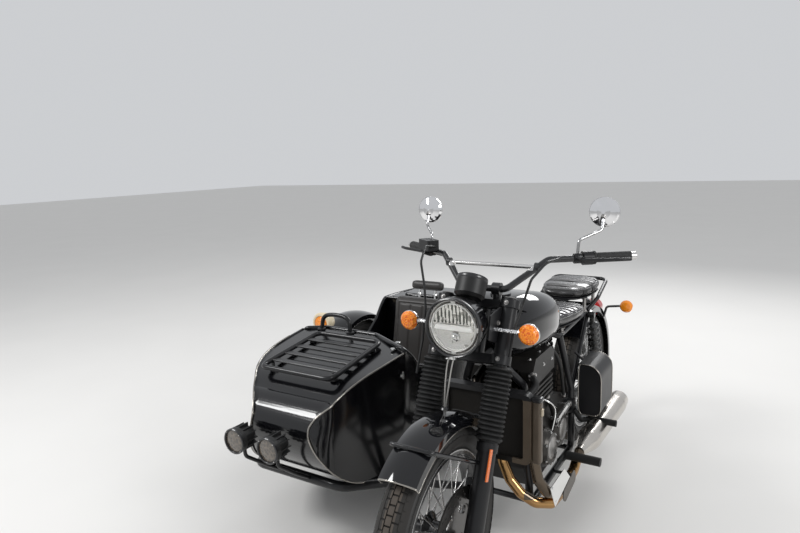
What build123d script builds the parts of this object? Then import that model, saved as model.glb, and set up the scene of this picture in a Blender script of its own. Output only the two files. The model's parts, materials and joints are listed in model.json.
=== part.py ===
from build123d import *

import os
from math import cos, hypot, radians, sin

os.makedirs("parts", exist_ok=True)

# Driving dimensions, in millimetres. Forward is -Y, up is +Z, and the sidecar stands on the -X side.
TYRE_R = 334.0
CAR_TYRE_R = 300.0
TYRE_HEIGHT = 88.0
BAR_END = 427.0
BEND_X = 190.0
BEND_Y = -340.0
END_Y = -172.0
BAR_WEIGHT_R = 14.0
# The bar's ends are swept back, so the flat of each end weight reaches past the end's middle.
BAR_SWEEP = (END_Y - BEND_Y) / hypot(BAR_END - BEND_X, END_Y - BEND_Y)
BAR_REACH = BAR_END + BAR_WEIGHT_R * BAR_SWEEP
FENDER_OUTER = 1230.0
BIKE_X = (FENDER_OUTER - BAR_REACH) / 2
SIDECAR_TRACK = 1150.0
CAR_X = BIKE_X - 710.0
CAR_WHEEL_X = BIKE_X - SIDECAR_TRACK
AXLE_Z = TYRE_R
FRONT_AXLE_Y = -785.0
# The rear fender reaches as far behind the middle as the front tyre does ahead of it.
FENDER_CROWN_R = 370.0
REAR_AXLE_Y = TYRE_R - FRONT_AXLE_Y - FENDER_CROWN_R
CAR_AXLE_Y = 380.0
RAKE = 25.0
FORK_OFFSET = 45.0
FORK_HALF = 111.0
STEM_R = 14.0
STANCHION_R = 20.5
TUBE = 28.0

MIDDLE = Plane.YZ.offset(BIKE_X)
CAR_MIDDLE = Plane.YZ.offset(CAR_X)
RAKE_SIN = sin(radians(RAKE))
RAKE_COS = cos(radians(RAKE))
HEAD_Y = FRONT_AXLE_Y + FORK_OFFSET * RAKE_COS
HEAD_Z = AXLE_Z - FORK_OFFSET * RAKE_SIN
# Local x runs across, local y runs back and down, and z climbs the steering axis.
HEAD = Plane(origin=(BIKE_X, HEAD_Y, HEAD_Z), x_dir=(1, 0, 0), z_dir=(0, RAKE_SIN, RAKE_COS))


def at(x, y, z):
    """A point whose x is counted from the motorcycle's middle plane."""
    return (BIKE_X + x, y, z)


def off_car(x, y, z):
    """A point whose x is counted from the sidecar's middle plane."""
    return (CAR_X + x, y, z)


def up_head(x, climb, ahead=FORK_OFFSET):
    """A point at a height along the steering axis and a distance ahead of it."""
    spot = HEAD.from_local_coords(Vector(x, -ahead, climb))
    return (spot.X, spot.Y, spot.Z)


def tube(points, outer, bend=0.0):
    """A round bar along straight runs, with arcs at the corners where bend is given."""
    with BuildPart(mode=Mode.PRIVATE) as bar:
        with BuildLine() as path:
            if bend:
                FilletPolyline(*points, radius=bend)
            else:
                Polyline(*points)
        with BuildSketch(Plane(origin=path.line @ 0, z_dir=path.line % 0)):
            Circle(outer / 2)
        sweep(transition=Transition.ROUND if not bend and len(points) > 2 else Transition.TRANSFORMED)
    return bar.part


def turned(plane, outline):
    """A solid of revolution about the plane's local y axis, from (radius, height) corners."""
    with BuildPart(mode=Mode.PRIVATE) as body:
        with BuildSketch(plane):
            with BuildLine():
                Polyline(*outline, close=True)
            make_face()
        revolve(axis=Axis(plane.origin, plane.y_dir))
    return body.part


def both_sides(solids):
    """The given solids of the left half together with their mirror images."""
    return [copy for solid in solids for copy in (solid, mirror(solid, about=MIDDLE, mode=Mode.PRIVATE))]


def axle_plane(x, axle_y, axle_z):
    """Local x is the radius upward, local y runs across along the axle."""
    return Plane(origin=(x, axle_y, axle_z), x_dir=(0, 0, 1), z_dir=(0, 1, 0))


# Wheels: a tyre, and a rim laced to its hub by spokes. The sidecar's wheel is smaller and laced alike.
RIM_HALF = 36.0
BEAD_HALF = 29.5
HUB_HALF = 40.0
AXLE_R = 10.0
HUB_BORE_R = AXLE_R + 0.5
HUB_FLANGE_R = 52.0
SPOKE_SETS = 9
SPOKE_D = 4.4
DISC_R = 150.0
DISC_INNER_R = 98.0
DISC_FACE = 60.0
DISC_THICK = 5.0
SPROCKET_R = 90.0
SPROCKET_TEETH = 36


def tyre(x, axle_y, radius, width):
    """A round-shouldered tyre that stands on the ground, with straight beads in its rim."""
    half = width / 2
    seat = radius - TYRE_HEIGHT
    bead = seat + 11
    with BuildPart(mode=Mode.PRIVATE) as ring:
        with BuildSketch(axle_plane(x, axle_y, radius)):
            with BuildLine():
                Line((seat, -BEAD_HALF), (bead, -BEAD_HALF))
                ThreePointArc((bead, -BEAD_HALF), (radius - 46, -half), (radius - 18, -half + 10))
                ThreePointArc((radius - 18, -half + 10), (radius, 0), (radius - 18, half - 10))
                ThreePointArc((radius - 18, half - 10), (radius - 46, half), (bead, BEAD_HALF))
                Line((bead, BEAD_HALF), (seat, BEAD_HALF))
                Line((seat, BEAD_HALF), (seat, -BEAD_HALF))
            make_face()
        revolve(axis=Axis((x, axle_y, radius), (1, 0, 0)))
    return ring.part


def laced_wheel(seat):
    """Rim, hub and spokes round the origin, for a tyre whose beads sit at the given radius."""
    plane = Plane(origin=(0, 0, 0), x_dir=(0, 0, 1), z_dir=(0, 1, 0))
    lip = seat + 8
    floor = seat - 10
    rim = turned(
        plane,
        [(seat, -30), (lip, -30), (lip, -RIM_HALF), (seat - 6, -RIM_HALF), (seat - 14, -22), (floor - 10, -18),
         (floor - 10, 18), (seat - 14, 22), (seat - 6, RIM_HALF), (lip, RIM_HALF), (lip, 30), (seat, 30),
         (seat, 24), (floor, 18), (floor, -18), (seat, -24)],
    )
    hub = turned(
        plane,
        [(HUB_BORE_R, -HUB_HALF - 8), (26, -HUB_HALF - 8), (26, -HUB_HALF), (HUB_FLANGE_R, -HUB_HALF),
         (HUB_FLANGE_R, -HUB_HALF + 6), (30, -20), (30, 20), (HUB_FLANGE_R, HUB_HALF - 6),
         (HUB_FLANGE_R, HUB_HALF), (26, HUB_HALF), (26, HUB_HALF + 8), (HUB_BORE_R, HUB_HALF + 8)],
    )
    spokes = []
    start = HUB_FLANGE_R - 5
    stop = seat - 17
    # Columns: side of the hub, place on the flange and on the rim in degrees within one set.
    for side, flange_at, rim_at in ((-1, 0, 20), (-1, 22, 2), (1, 11, 31), (1, 33, 13)):
        for turn in range(SPOKE_SETS):
            inner = radians(flange_at + turn * 360 / SPOKE_SETS)
            outer = radians(rim_at + turn * 360 / SPOKE_SETS)
            spokes.append(
                tube(
                    [(side * (HUB_HALF - 3), start * cos(inner), start * sin(inner)),
                     (side * 6, stop * cos(outer), stop * sin(outer))],
                    SPOKE_D,
                )
            )
    with BuildPart(mode=Mode.PRIVATE) as laced:
        add([rim, hub, *spokes])
    return laced.part


def brake_disc(side):
    """A drilled disc on a six-armed dished carrier, round the origin."""
    face = side * DISC_FACE
    with BuildPart(mode=Mode.PRIVATE) as disc:
        with BuildSketch(Plane.YZ.offset(face)):
            Circle(DISC_R)
            Circle(DISC_INNER_R + 4, mode=Mode.SUBTRACT)
            for ring_r, first in ((116, 0), (127, 6.7), (138, 13.3)):
                with PolarLocations(ring_r, 18, start_angle=first):
                    Circle(3.5, mode=Mode.SUBTRACT)
        extrude(amount=side * DISC_THICK)
        with BuildSketch(Plane.YZ.offset(face)):
            Circle(DISC_INNER_R + 6)
            Circle(54, mode=Mode.SUBTRACT)
            with PolarLocations(82, 6):
                SlotCenterToCenter(26, 26, rotation=90, mode=Mode.SUBTRACT)
        extrude(amount=-side * 6)
        with BuildSketch(Plane.YZ.offset(side * (HUB_HALF + 6))):
            Circle(60)
            Circle(HUB_BORE_R, mode=Mode.SUBTRACT)
        extrude(amount=side * (DISC_FACE - HUB_HALF - 6))
    return disc.part


def sprocket(side):
    """The toothed ring that the chain drives, round the origin."""
    face = side * DISC_FACE
    with BuildPart(mode=Mode.PRIVATE) as ring:
        with BuildSketch(Plane.YZ.offset(face)):
            Circle(SPROCKET_R - 7)
            with PolarLocations(SPROCKET_R - 7, SPROCKET_TEETH):
                Rectangle(10, 6)
            Circle(27, mode=Mode.SUBTRACT)
            with PolarLocations(58, 5):
                Circle(13, mode=Mode.SUBTRACT)
        extrude(amount=side * 7)
        with BuildSketch(Plane.YZ.offset(side * (HUB_HALF + 6))):
            Circle(34)
            Circle(HUB_BORE_R, mode=Mode.SUBTRACT)
        extrude(amount=side * (DISC_FACE - HUB_HALF + 1))
    return ring.part


# Columns: node prefix, x of the wheel's middle, axle y, tyre radius and width, disc side, sprocket side.
WHEELS = (
    ("front", BIKE_X, FRONT_AXLE_Y, TYRE_R, 96.0, 1, 0),
    ("rear", BIKE_X, REAR_AXLE_Y, TYRE_R, 104.0, 1, -1),
    ("sidecar", CAR_WHEEL_X, CAR_AXLE_Y, CAR_TYRE_R, 116.0, 0, 0),
)
laced_by_radius = {radius: laced_wheel(radius - TYRE_HEIGHT) for radius in (TYRE_R, CAR_TYRE_R)}
for prefix, wheel_x, wheel_y, tyre_r, tyre_width, disc_side, sprocket_side in WHEELS:
    rubber = tyre(wheel_x, wheel_y, tyre_r, tyre_width)
    rubber.label = f"{prefix}_tyre"
    export_step(rubber, f"parts/{prefix}_tyre.step")
    turning = [laced_by_radius[tyre_r]]
    if disc_side:
        turning.append(brake_disc(disc_side))
    if sprocket_side:
        turning.append(sprocket(sprocket_side))
    with BuildPart() as wheel:
        add(turning)
    placed = wheel.part.moved(Location((wheel_x, wheel_y, tyre_r)))
    placed.label = f"{prefix}_wheel"
    export_step(placed, f"parts/{prefix}_wheel.step")


# Fork: lower legs with the axle lugs, and stanchions up through both yokes. The axle joins the legs.
LOWER_TOP = 292.0
GAITER_TOP = 522.0
LOWER_YOKE = 526.0
UPPER_YOKE = 706.0
YOKE_THICK = 30.0

with BuildPart() as fork_legs:
    for side in (-1, 1):
        add(tube([up_head(side * FORK_HALF, -30), up_head(side * FORK_HALF, LOWER_TOP)], 58))
        add(tube([up_head(side * FORK_HALF, 250), up_head(side * FORK_HALF, 738)], 2 * STANCHION_R))
        add(tube([up_head(side * FORK_HALF, 262), up_head(side * FORK_HALF, LOWER_TOP - 4)], 66))
    add(tube([at(-FORK_HALF - 36, FRONT_AXLE_Y, AXLE_Z), at(FORK_HALF + 36, FRONT_AXLE_Y, AXLE_Z)], 2 * AXLE_R))
    add(tube([at(-FORK_HALF - 32, FRONT_AXLE_Y, AXLE_Z), at(-58, FRONT_AXLE_Y, AXLE_Z)], 36))
    add(tube([at(FORK_HALF + 32, FRONT_AXLE_Y, AXLE_Z), at(72, FRONT_AXLE_Y, AXLE_Z)], 36))
fork_legs.part.label = "fork_legs"
export_step(fork_legs.part, "parts/fork_legs.step")

# Gaiters: a ribbed sleeve on each stanchion, one ridge for each fold.
GAITER_FOLDS = 16
GAITER_R = 42.0
folds = [(21, LOWER_TOP + 1), (36, LOWER_TOP + 1)]
fold_rise = (GAITER_TOP - LOWER_TOP - 6) / GAITER_FOLDS
for fold in range(GAITER_FOLDS):
    base = LOWER_TOP + 3 + fold * fold_rise
    folds += [(35, base), (GAITER_R, base + fold_rise * 0.35), (GAITER_R, base + fold_rise * 0.65)]
folds += [(35, GAITER_TOP - 3), (21, GAITER_TOP - 3)]
gaiter_plane = Plane(origin=up_head(FORK_HALF, 0), x_dir=(1, 0, 0), z_dir=-HEAD.y_dir)
gaiter = turned(gaiter_plane, folds)
with BuildPart() as fork_gaiters:
    for sleeve in both_sides([gaiter]):
        add(sleeve)
fork_gaiters.part.label = "fork_gaiters"
export_step(fork_gaiters.part, "parts/fork_gaiters.step")

# Yokes: two rounded plates that clamp the stanchions, joined by the steering stem, with the headlamp ears.
with BuildPart() as fork_yokes:
    for climb, thick in ((LOWER_YOKE, YOKE_THICK), (UPPER_YOKE, 26.0)):
        with BuildSketch(HEAD.offset(climb)):
            with Locations((-FORK_HALF, -FORK_OFFSET), (FORK_HALF, -FORK_OFFSET)):
                Circle(32)
            Circle(34)
            with Locations((0, -FORK_OFFSET / 2)):
                Rectangle(2 * FORK_HALF, 40)
        extrude(amount=thick)
    add(tube([up_head(0, LOWER_YOKE, 0), up_head(0, UPPER_YOKE + 20, 0)], 2 * STEM_R))
    for side in (-1, 1):
        with BuildSketch(Plane.YZ.offset(BIKE_X + side * 92)):
            with BuildLine():
                Polyline((-620, 905), (-600, 975), (-520, 985), (-470, 960), (-500, 890), (-560, 880), close=True)
            make_face()
        extrude(amount=side * 5)
        add(tube([up_head(side * FORK_HALF, LOWER_YOKE), up_head(side * FORK_HALF, UPPER_YOKE)], 52))
    with BuildSketch(HEAD.offset(LOWER_YOKE - 1)):
        with Locations((-FORK_HALF, -FORK_OFFSET), (FORK_HALF, -FORK_OFFSET)):
            Circle(STANCHION_R + 0.05)
    extrude(amount=UPPER_YOKE - LOWER_YOKE + 40, mode=Mode.SUBTRACT)
fork_yokes.part.label = "fork_yokes"
export_step(fork_yokes.part, "parts/fork_yokes.step")

# Fenders: a crowned strip that follows its tyre, on a plane that starts at a given angle above straight ahead.
FENDER_WALL = 3.0


def arch(x, axle_y, axle_z, half, inner_r, start, arc, skirt=24.0, crown=14.0):
    """A crowned fender from start degrees above straight ahead, over the top, through arc degrees."""
    lean = radians(start)
    plane = Plane(origin=(x, axle_y, axle_z), x_dir=(0, -cos(lean), sin(lean)), z_dir=(0, sin(lean), cos(lean)))
    edge_r = inner_r - skirt
    with BuildPart(mode=Mode.PRIVATE) as strip:
        with BuildSketch(plane):
            with BuildLine():
                Line((edge_r, -half), (inner_r, -half))
                ThreePointArc((inner_r, -half), (inner_r + crown, 0), (inner_r, half))
                Line((inner_r, half), (edge_r, half))
                Line((edge_r, half), (edge_r, half - FENDER_WALL))
                Line((edge_r, half - FENDER_WALL), (inner_r - FENDER_WALL, half - FENDER_WALL))
                ThreePointArc(
                    (inner_r - FENDER_WALL, half - FENDER_WALL),
                    (inner_r + crown - FENDER_WALL, 0),
                    (inner_r - FENDER_WALL, -half + FENDER_WALL),
                )
                Line((inner_r - FENDER_WALL, -half + FENDER_WALL), (edge_r, -half + FENDER_WALL))
                Line((edge_r, -half + FENDER_WALL), (edge_r, -half))
            make_face()
        revolve(axis=Axis((x, axle_y, axle_z), (-1, 0, 0)), revolution_arc=arc)
    return strip.part


def round_wheel(axle_y, axle_z, radius, angle):
    """The y and z at a radius from an axle, angle degrees above straight ahead."""
    return axle_y - radius * cos(radians(angle)), axle_z + radius * sin(radians(angle))


FRONT_FENDER_R = 352.0
brace_y, brace_z = round_wheel(FRONT_AXLE_Y, AXLE_Z, FRONT_FENDER_R + 18, 66)
stay_y, stay_z = round_wheel(FRONT_AXLE_Y, AXLE_Z, FRONT_FENDER_R + 18, 128)
with BuildPart() as front_fender:
    add(arch(BIKE_X, FRONT_AXLE_Y, AXLE_Z, 60, FRONT_FENDER_R, 50, 102))
    add(tube([up_head(-FORK_HALF + 6, 225), at(-66, brace_y, brace_z), at(66, brace_y, brace_z),
              up_head(FORK_HALF - 6, 225)], 12, 16))
    add(tube([up_head(-FORK_HALF + 6, 200), at(-66, stay_y, stay_z), at(66, stay_y, stay_z),
              up_head(FORK_HALF - 6, 200)], 12, 16))
    add(fork_legs.part, mode=Mode.SUBTRACT)
front_fender.part.label = "front_fender"
export_step(front_fender.part, "parts/front_fender.step")

# Headlamp: a deep bowl between the ears, and a domed lens in its rim.
LAMP_Y = -668.0
LAMP_Z = 943.0
LAMP_R = 89.0
lamp_plane = Plane(origin=at(0, LAMP_Y, LAMP_Z), x_dir=(1, 0, 0), z_dir=(0, 0, 1))
headlamp_shell = turned(
    lamp_plane,
    [(0, 24), (LAMP_R - 2, 24), (LAMP_R - 2, 0), (LAMP_R + 4, 0), (LAMP_R + 6, 10), (LAMP_R + 2, 34), (84, 72),
     (70, 108), (44, 134), (0, 144)],
)
headlamp_lens = turned(lamp_plane, [(0, -9), (45, -6), (72, -1), (LAMP_R - 2.2, 7), (LAMP_R - 2.2, 23.8), (0, 23.8)])
headlamp_shell.label = "headlamp_shell"
export_step(headlamp_shell, "parts/headlamp_shell.step")
headlamp_lens.label = "headlamp_lens"
export_step(headlamp_lens, "parts/headlamp_lens.step")


def lamp(x, y, z, radius, depth):
    """A round lamp that faces forward, its widest ring at the given point."""
    plane = Plane(origin=(x, y, z), x_dir=(1, 0, 0), z_dir=(0, 0, 1))
    return turned(
        plane,
        [(0, -depth * 0.4), (radius * 0.7, -depth * 0.34), (radius, -depth * 0.14), (radius, 0),
         (radius * 0.8, depth * 0.3), (radius * 0.4, depth * 0.56), (0, depth * 0.6)],
    )


SIGNAL_X = 207.0
SIGNAL_Y = -570.0
SIGNAL_Z = 923.0
with BuildPart() as front_signals:
    for side in (-1, 1):
        add(lamp(BIKE_X + side * SIGNAL_X, SIGNAL_Y, SIGNAL_Z, 31.5, 54))
        add(tube([at(side * 97.2, SIGNAL_Y, SIGNAL_Z + 3), at(side * (SIGNAL_X - 12), SIGNAL_Y + 4, SIGNAL_Z)], 13))
    add(fork_yokes.part, mode=Mode.SUBTRACT)
front_signals.part.label = "front_signals"
export_step(front_signals.part, "parts/front_signals.step")

# Gauge: a round cup that faces the rider, on a post from the upper yoke.
gauge_face = Plane(origin=at(0, -530, 1046), x_dir=(1, 0, 0), z_dir=(0, -sin(radians(60)), cos(radians(60))))
gauge_post = up_head(0, UPPER_YOKE + 26.2, 40)
with BuildPart() as gauge:
    add(turned(gauge_face, [(0, -40), (40, -40), (49.5, -30), (49.5, 22), (46, 27), (0, 24)]))
    add(tube([gauge_post, at(0, -528, 1020)], 20))
    add(fork_yokes.part, mode=Mode.SUBTRACT)
gauge.part.label = "gauge"
export_step(gauge.part, "parts/gauge.step")

# Handlebar: one bent bar with a cross brace, on two risers that stand on the upper yoke.
BAR_D = 22.2
BAR_Z = 1113.0
bar_run = Vector(BAR_END - BEND_X, END_Y - BEND_Y, 0).normalized()
bar_ahead = Vector(bar_run.Y, -bar_run.X, 0)


def on_bar(side, inward, ahead=0.0, up=0.0):
    """A point beside the grip stretch: distance inward from the bar's end, ahead of it and above it."""
    spot = Vector(BAR_END, END_Y, BAR_Z) - bar_run * inward + bar_ahead * ahead + Vector(0, 0, up)
    return at(side * spot.X, spot.Y, spot.Z)


with BuildPart() as handlebar:
    add(tube([on_bar(-1, 14), at(-BEND_X, BEND_Y, BAR_Z), at(-78, -432, 1022), at(78, -432, 1022),
              at(BEND_X, BEND_Y, BAR_Z), on_bar(1, 14)], BAR_D, 40))
    add(tube([at(-161, -364, 1090), at(161, -364, 1090)], 14))
    for side in (-1, 1):
        add(tube([on_bar(side, 0), on_bar(side, 16)], 2 * BAR_WEIGHT_R))
        add(tube([at(side * 34, -432, 1022), at(side * 62, -432, 1022)], 42))
        foot = up_head(side * 48, UPPER_YOKE + 26.1, 0)
        add(tube([foot, at(side * 48, -432, 1022)], 30))
        add(tube([at(side * 153, -364, 1090), at(side * 167, -364, 1090)], 30))
    add(fork_yokes.part, mode=Mode.SUBTRACT)
handlebar.part.label = "handlebar"
export_step(handlebar.part, "parts/handlebar.step")

with BuildPart() as grips:
    for side in (-1, 1):
        add(tube([on_bar(side, 17), on_bar(side, 140)], 33))
        add(tube([on_bar(side, 136), on_bar(side, 142)], 44))
    for side in (-1, 1):
        add(tube([on_bar(side, 8), on_bar(side, 150)], BAR_D + 0.1), mode=Mode.SUBTRACT)
grips.part.label = "grips"
export_step(grips.part, "parts/grips.step")

# Controls: a switch pod and lever perch on each side, the levers, and the brake reservoir on the right.
with BuildPart() as controls:
    for side in (-1, 1):
        add(tube([on_bar(side, 144), on_bar(side, 178)], 46))
        add(tube([on_bar(side, 182), on_bar(side, 206)], 34))
        add(tube([on_bar(side, 194, 6), on_bar(side, 190, 40)], 22))
        add(tube([on_bar(side, 196, 38), on_bar(side, 150, 44), on_bar(side, 70, 58), on_bar(side, 38, 56)], 11, 60))
    reservoir = Plane(origin=on_bar(-1, 214, 26, 8), x_dir=(bar_run.X, -bar_run.Y, 0), z_dir=(0, 0, 1))
    with BuildSketch(reservoir):
        RectangleRounded(84, 46, 8)
    extrude(amount=38)
    for side in (-1, 1):
        add(tube([on_bar(side, 120), on_bar(side, 234)], BAR_D + 0.1), mode=Mode.SUBTRACT)
    add(handlebar.part, mode=Mode.SUBTRACT)
controls.part.label = "controls"
export_step(controls.part, "parts/controls.step")

# Mirrors: round, faced back, on bent stems from the perches.
MIRROR = (329.0, -188.0, 1257.0)
MIRROR_R = 50.0
with BuildPart() as mirrors:
    for side in (-1, 1):
        spot = at(side * MIRROR[0], MIRROR[1], MIRROR[2])
        back = Plane(origin=spot, x_dir=(1, 0, 0), z_dir=(0, 0, 1))
        add(turned(back, [(0, -16), (22, -14), (44, -6), (MIRROR_R, 2), (MIRROR_R, 8), (MIRROR_R - 3, 8), (0, 6)]))
        add(tube([on_bar(side, 194, 0, 17.1), on_bar(side, 190, 0, 60), at(side * MIRROR[0], -214, 1200),
                  at(side * MIRROR[0], MIRROR[1] - 10, MIRROR[2] - 10)], 10, 18))
    add(controls.part, mode=Mode.SUBTRACT)
mirrors.part.label = "mirrors"
export_step(mirrors.part, "parts/mirrors.step")

# Brake caliper: a block that straddles the front disc behind the left fork leg.
with BuildPart() as front_caliper:
    with BuildSketch(HEAD.offset(110)):
        with Locations((74, 8)):
            RectangleRounded(54, 62, 10)
    extrude(amount=62)
    with BuildSketch(Plane.YZ.offset(BIKE_X + DISC_FACE - 2)):
        with Locations((FRONT_AXLE_Y, AXLE_Z)):
            Circle(DISC_R + 5)
    extrude(amount=9, mode=Mode.SUBTRACT)
    add(tube([up_head(FORK_HALF, -20), up_head(FORK_HALF, 280)], 58.2), mode=Mode.SUBTRACT)
front_caliper.part.label = "front_caliper"
export_step(front_caliper.part, "parts/front_caliper.step")

# Control cables on the steering: the brake hose and the clutch cable loop ahead of the gauge.
with BuildPart() as control_cables:
    add(tube([at(-232, -330, 1136), at(-224, -420, 1150), at(-196, -505, 1110), at(-176, -520, 1030),
              at(-160, -545, 960), at(-158, -575, 860), at(-158, -620, 760)], 8, 26))
    add(tube([at(230, -348, 1120), at(214, -430, 1120), at(188, -500, 1076), at(168, -518, 1000),
              at(152, -552, 930), at(152, -590, 850)], 8, 26))
    add(controls.part, mode=Mode.SUBTRACT)
control_cables.part.label = "control_cables"
export_step(control_cables.part, "parts/control_cables.step")

# Main frame: head tube, backbone, two downtubes that run on as the cradle, and the seat rails.
RAIL_Z = 215.0
CRADLE_X = 125.0
SEAT_RAIL_Z = 722.0
head_low = up_head(0, LOWER_YOKE + YOKE_THICK + 2, 0)
head_high = up_head(0, UPPER_YOKE - 2, 0)
with BuildPart() as frame:
    for side in (-1, 1):
        add(tube([at(side * 26, -452, 812), at(side * 108, -345, 668), at(side * CRADLE_X, -326, RAIL_Z),
                  at(side * CRADLE_X, 186, RAIL_Z), at(side * 118, 200, 470), at(side * 92, 112, SEAT_RAIL_Z)],
                 TUBE, 34))
        add(tube([at(0, 24, 784), at(side * 92, 96, SEAT_RAIL_Z), at(side * 92, 640, 736), at(0, 770, 744)],
                 22, 40))
        add(tube([at(side * 116, 195, 440), at(side * 92, 560, 732)], 18))
        add(tube([at(side * 106, 188, 400), at(side * 134, 188, 400)], 64))
    add(tube([up_head(0, 640, 0), at(0, -300, 808), at(0, 34, 784)], 40, 60))
    add(tube([at(-CRADLE_X, -300, RAIL_Z), at(CRADLE_X, -300, RAIL_Z)], 22))
    add(tube([at(-CRADLE_X, 170, RAIL_Z), at(CRADLE_X, 170, RAIL_Z)], 22))
    add(tube([at(-92, 640, 736), at(92, 640, 736)], 16))
    add(tube([head_low, head_high], 62))
    add(tube([up_head(0, 500, 0), up_head(0, 760, 0)], 2 * STEM_R + 0.1), mode=Mode.SUBTRACT)
frame.part.label = "frame"
export_step(frame.part, "parts/frame.step")

# Engine: cases, an upright pair of cylinders and the head, with the output cover on the right.
ENGINE_FRONT = -300.0
with BuildPart() as engine:
    with BuildSketch(Plane.YZ.offset(BIKE_X)):
        with BuildLine():
            Polyline((ENGINE_FRONT, 330), (ENGINE_FRONT, 460), (-270, 520), (-60, 530), (110, 480), (150, 420),
                     (150, 330), (90, 262), (-60, 240), (-250, 240), close=True)
        make_face()
    extrude(amount=104, both=True)
    fillet(engine.edges().filter_by(Axis.X), 18)
    with BuildSketch(Plane.YZ.offset(BIKE_X)):
        with BuildLine():
            Polyline((-284, 500), (-296, 640), (-76, 660), (-64, 500), close=True)
        make_face()
    extrude(amount=112, both=True)
    for fin in range(5):
        with BuildSketch(Plane.XY.offset(548 + fin * 18)):
            with Locations((BIKE_X, -180 - fin * 0.8)):
                RectangleRounded(248, 250, 16)
        extrude(amount=7)
    with BuildSketch(Plane.YZ.offset(BIKE_X)):
        with BuildLine():
            Polyline((-300, 640), (-304, 700), (-272, 744), (-100, 744), (-64, 716), (-64, 650), close=True)
        make_face()
    extrude(amount=126, both=True)
engine.part.label = "engine"
export_step(engine.part, "parts/engine.step")

# Engine covers: round cover on the left front, clutch cover on the right, sprocket cover on the left rear.
# Columns: side, y, z, radius, depth.
COVERS = ((1, -222, 396, 72, 66), (1, 20, 366, 74, 34), (-1, -150, 380, 96, 58), (1, -110, 330, 56, 40),
          (-1, 40, 380, 60, 40))
with BuildPart() as engine_covers:
    for side, cover_y, cover_z, cover_r, cover_depth in COVERS:
        plane = Plane(origin=at(side * 104.1, cover_y, cover_z), x_dir=(0, 0, 1), z_dir=(0, side, 0))
        add(turned(plane, [(0, 0), (cover_r, 0), (cover_r, cover_depth * 0.6), (cover_r - 8, cover_depth * 0.85),
                           (cover_r - 16, cover_depth), (0, cover_depth)]))
    add(frame.part, mode=Mode.SUBTRACT)
engine_covers.part.label = "engine_covers"
export_step(engine_covers.part, "parts/engine_covers.step")

# Radiator: a core between the wheel and the downtubes, in a shroud that closes its sides.
RADIATOR_Y = -428.0
with BuildPart() as radiator:
    with BuildSketch(Plane.XZ.offset(-RADIATOR_Y)):
        with Locations((BIKE_X, 548)):
            RectangleRounded(276, 214, 10)
    extrude(amount=-28)
radiator.part.label = "radiator"
export_step(radiator.part, "parts/radiator.step")

with BuildPart() as radiator_shroud:
    with BuildSketch(Plane.XZ.offset(-RADIATOR_Y + 8)):
        with Locations((BIKE_X, 548)):
            RectangleRounded(330, 250, 24)
            RectangleRounded(276.2, 214.2, 10, mode=Mode.SUBTRACT)
    extrude(amount=-38)
    add(frame.part, mode=Mode.SUBTRACT)
radiator_shroud.part.label = "radiator_shroud"
export_step(radiator_shroud.part, "parts/radiator_shroud.step")

# Fuel tank: rounded sections from the head to the saddle, over a tunnel for the backbone, with its filler cap.
# Columns: y, half width, top, bottom.
TANK_SECTIONS = ((-428, 66, 925, 800), (-330, 128, 966, 768), (-160, 154, 962, 752), (0, 126, 905, 760),
                 (64, 84, 850, 778))
with BuildPart() as fuel_tank:
    for tank_y, half, top, bottom in TANK_SECTIONS:
        with BuildSketch(Plane.XZ.offset(-tank_y)):
            with Locations((BIKE_X, (top + bottom) / 2)):
                RectangleRounded(2 * half, top - bottom, min(half, (top - bottom) / 2) * 0.82)
    loft()
    add(tube([at(0, -286, 966), at(0, -286, 976)], 74))
    with BuildSketch(Plane.XZ.offset(500)):
        with Locations((BIKE_X, 780)):
            RectangleRounded(64, 124, 20)
    extrude(amount=-700, mode=Mode.SUBTRACT)
    add(frame.part, mode=Mode.SUBTRACT)
fuel_tank.part.label = "fuel_tank"
export_step(fuel_tank.part, "parts/fuel_tank.step")

# Saddles: plain cushions, the pillion's above and behind the rider's.
# Columns: node, front y, rear y, half width in front and behind, top and bottom heights.
SADDLES = (
    ("rider_saddle", 76.0, 404.0, 96.0, 136.0, 806.0, 754.0),
    ("pillion_saddle", 424.0, 750.0, 116.0, 106.0, 862.0, 806.0),
)
for node, front, rear, half_front, half_rear, top, bottom in SADDLES:
    with BuildPart() as saddle:
        with BuildSketch(Plane.XY.offset(bottom)):
            with BuildLine():
                Polyline(at(-half_front, front, 0)[:2], at(half_front, front, 0)[:2], at(half_rear, rear, 0)[:2],
                         at(-half_rear, rear, 0)[:2], close=True)
            make_face()
            fillet(vertices(), 40)
        extrude(amount=top - bottom)
        fillet(saddle.faces().sort_by(Axis.Z)[-1].edges(), 18)
    saddle.part.label = node
    export_step(saddle.part, f"parts/{node}.step")

# Rear of the motorcycle: fender, grab hoop, side boxes, lamps, swing arm, shocks and chain drive.
FENDER_CROWN = 14.0
with BuildPart() as rear_fender:
    add(arch(BIKE_X, REAR_AXLE_Y, AXLE_Z, 74, FENDER_CROWN_R - FENDER_CROWN, 48, 132))
rear_fender.part.label = "rear_fender"
export_step(rear_fender.part, "parts/rear_fender.step")

with BuildPart() as grab_hoop:
    add(tube([at(-104, 500, 742), at(-134, 560, 790), at(-128, 760, 842), at(128, 760, 842), at(134, 560, 790),
              at(104, 500, 742)], 18, 36))
    add(frame.part, mode=Mode.SUBTRACT)
grab_hoop.part.label = "grab_hoop"
export_step(grab_hoop.part, "parts/grab_hoop.step")

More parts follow.
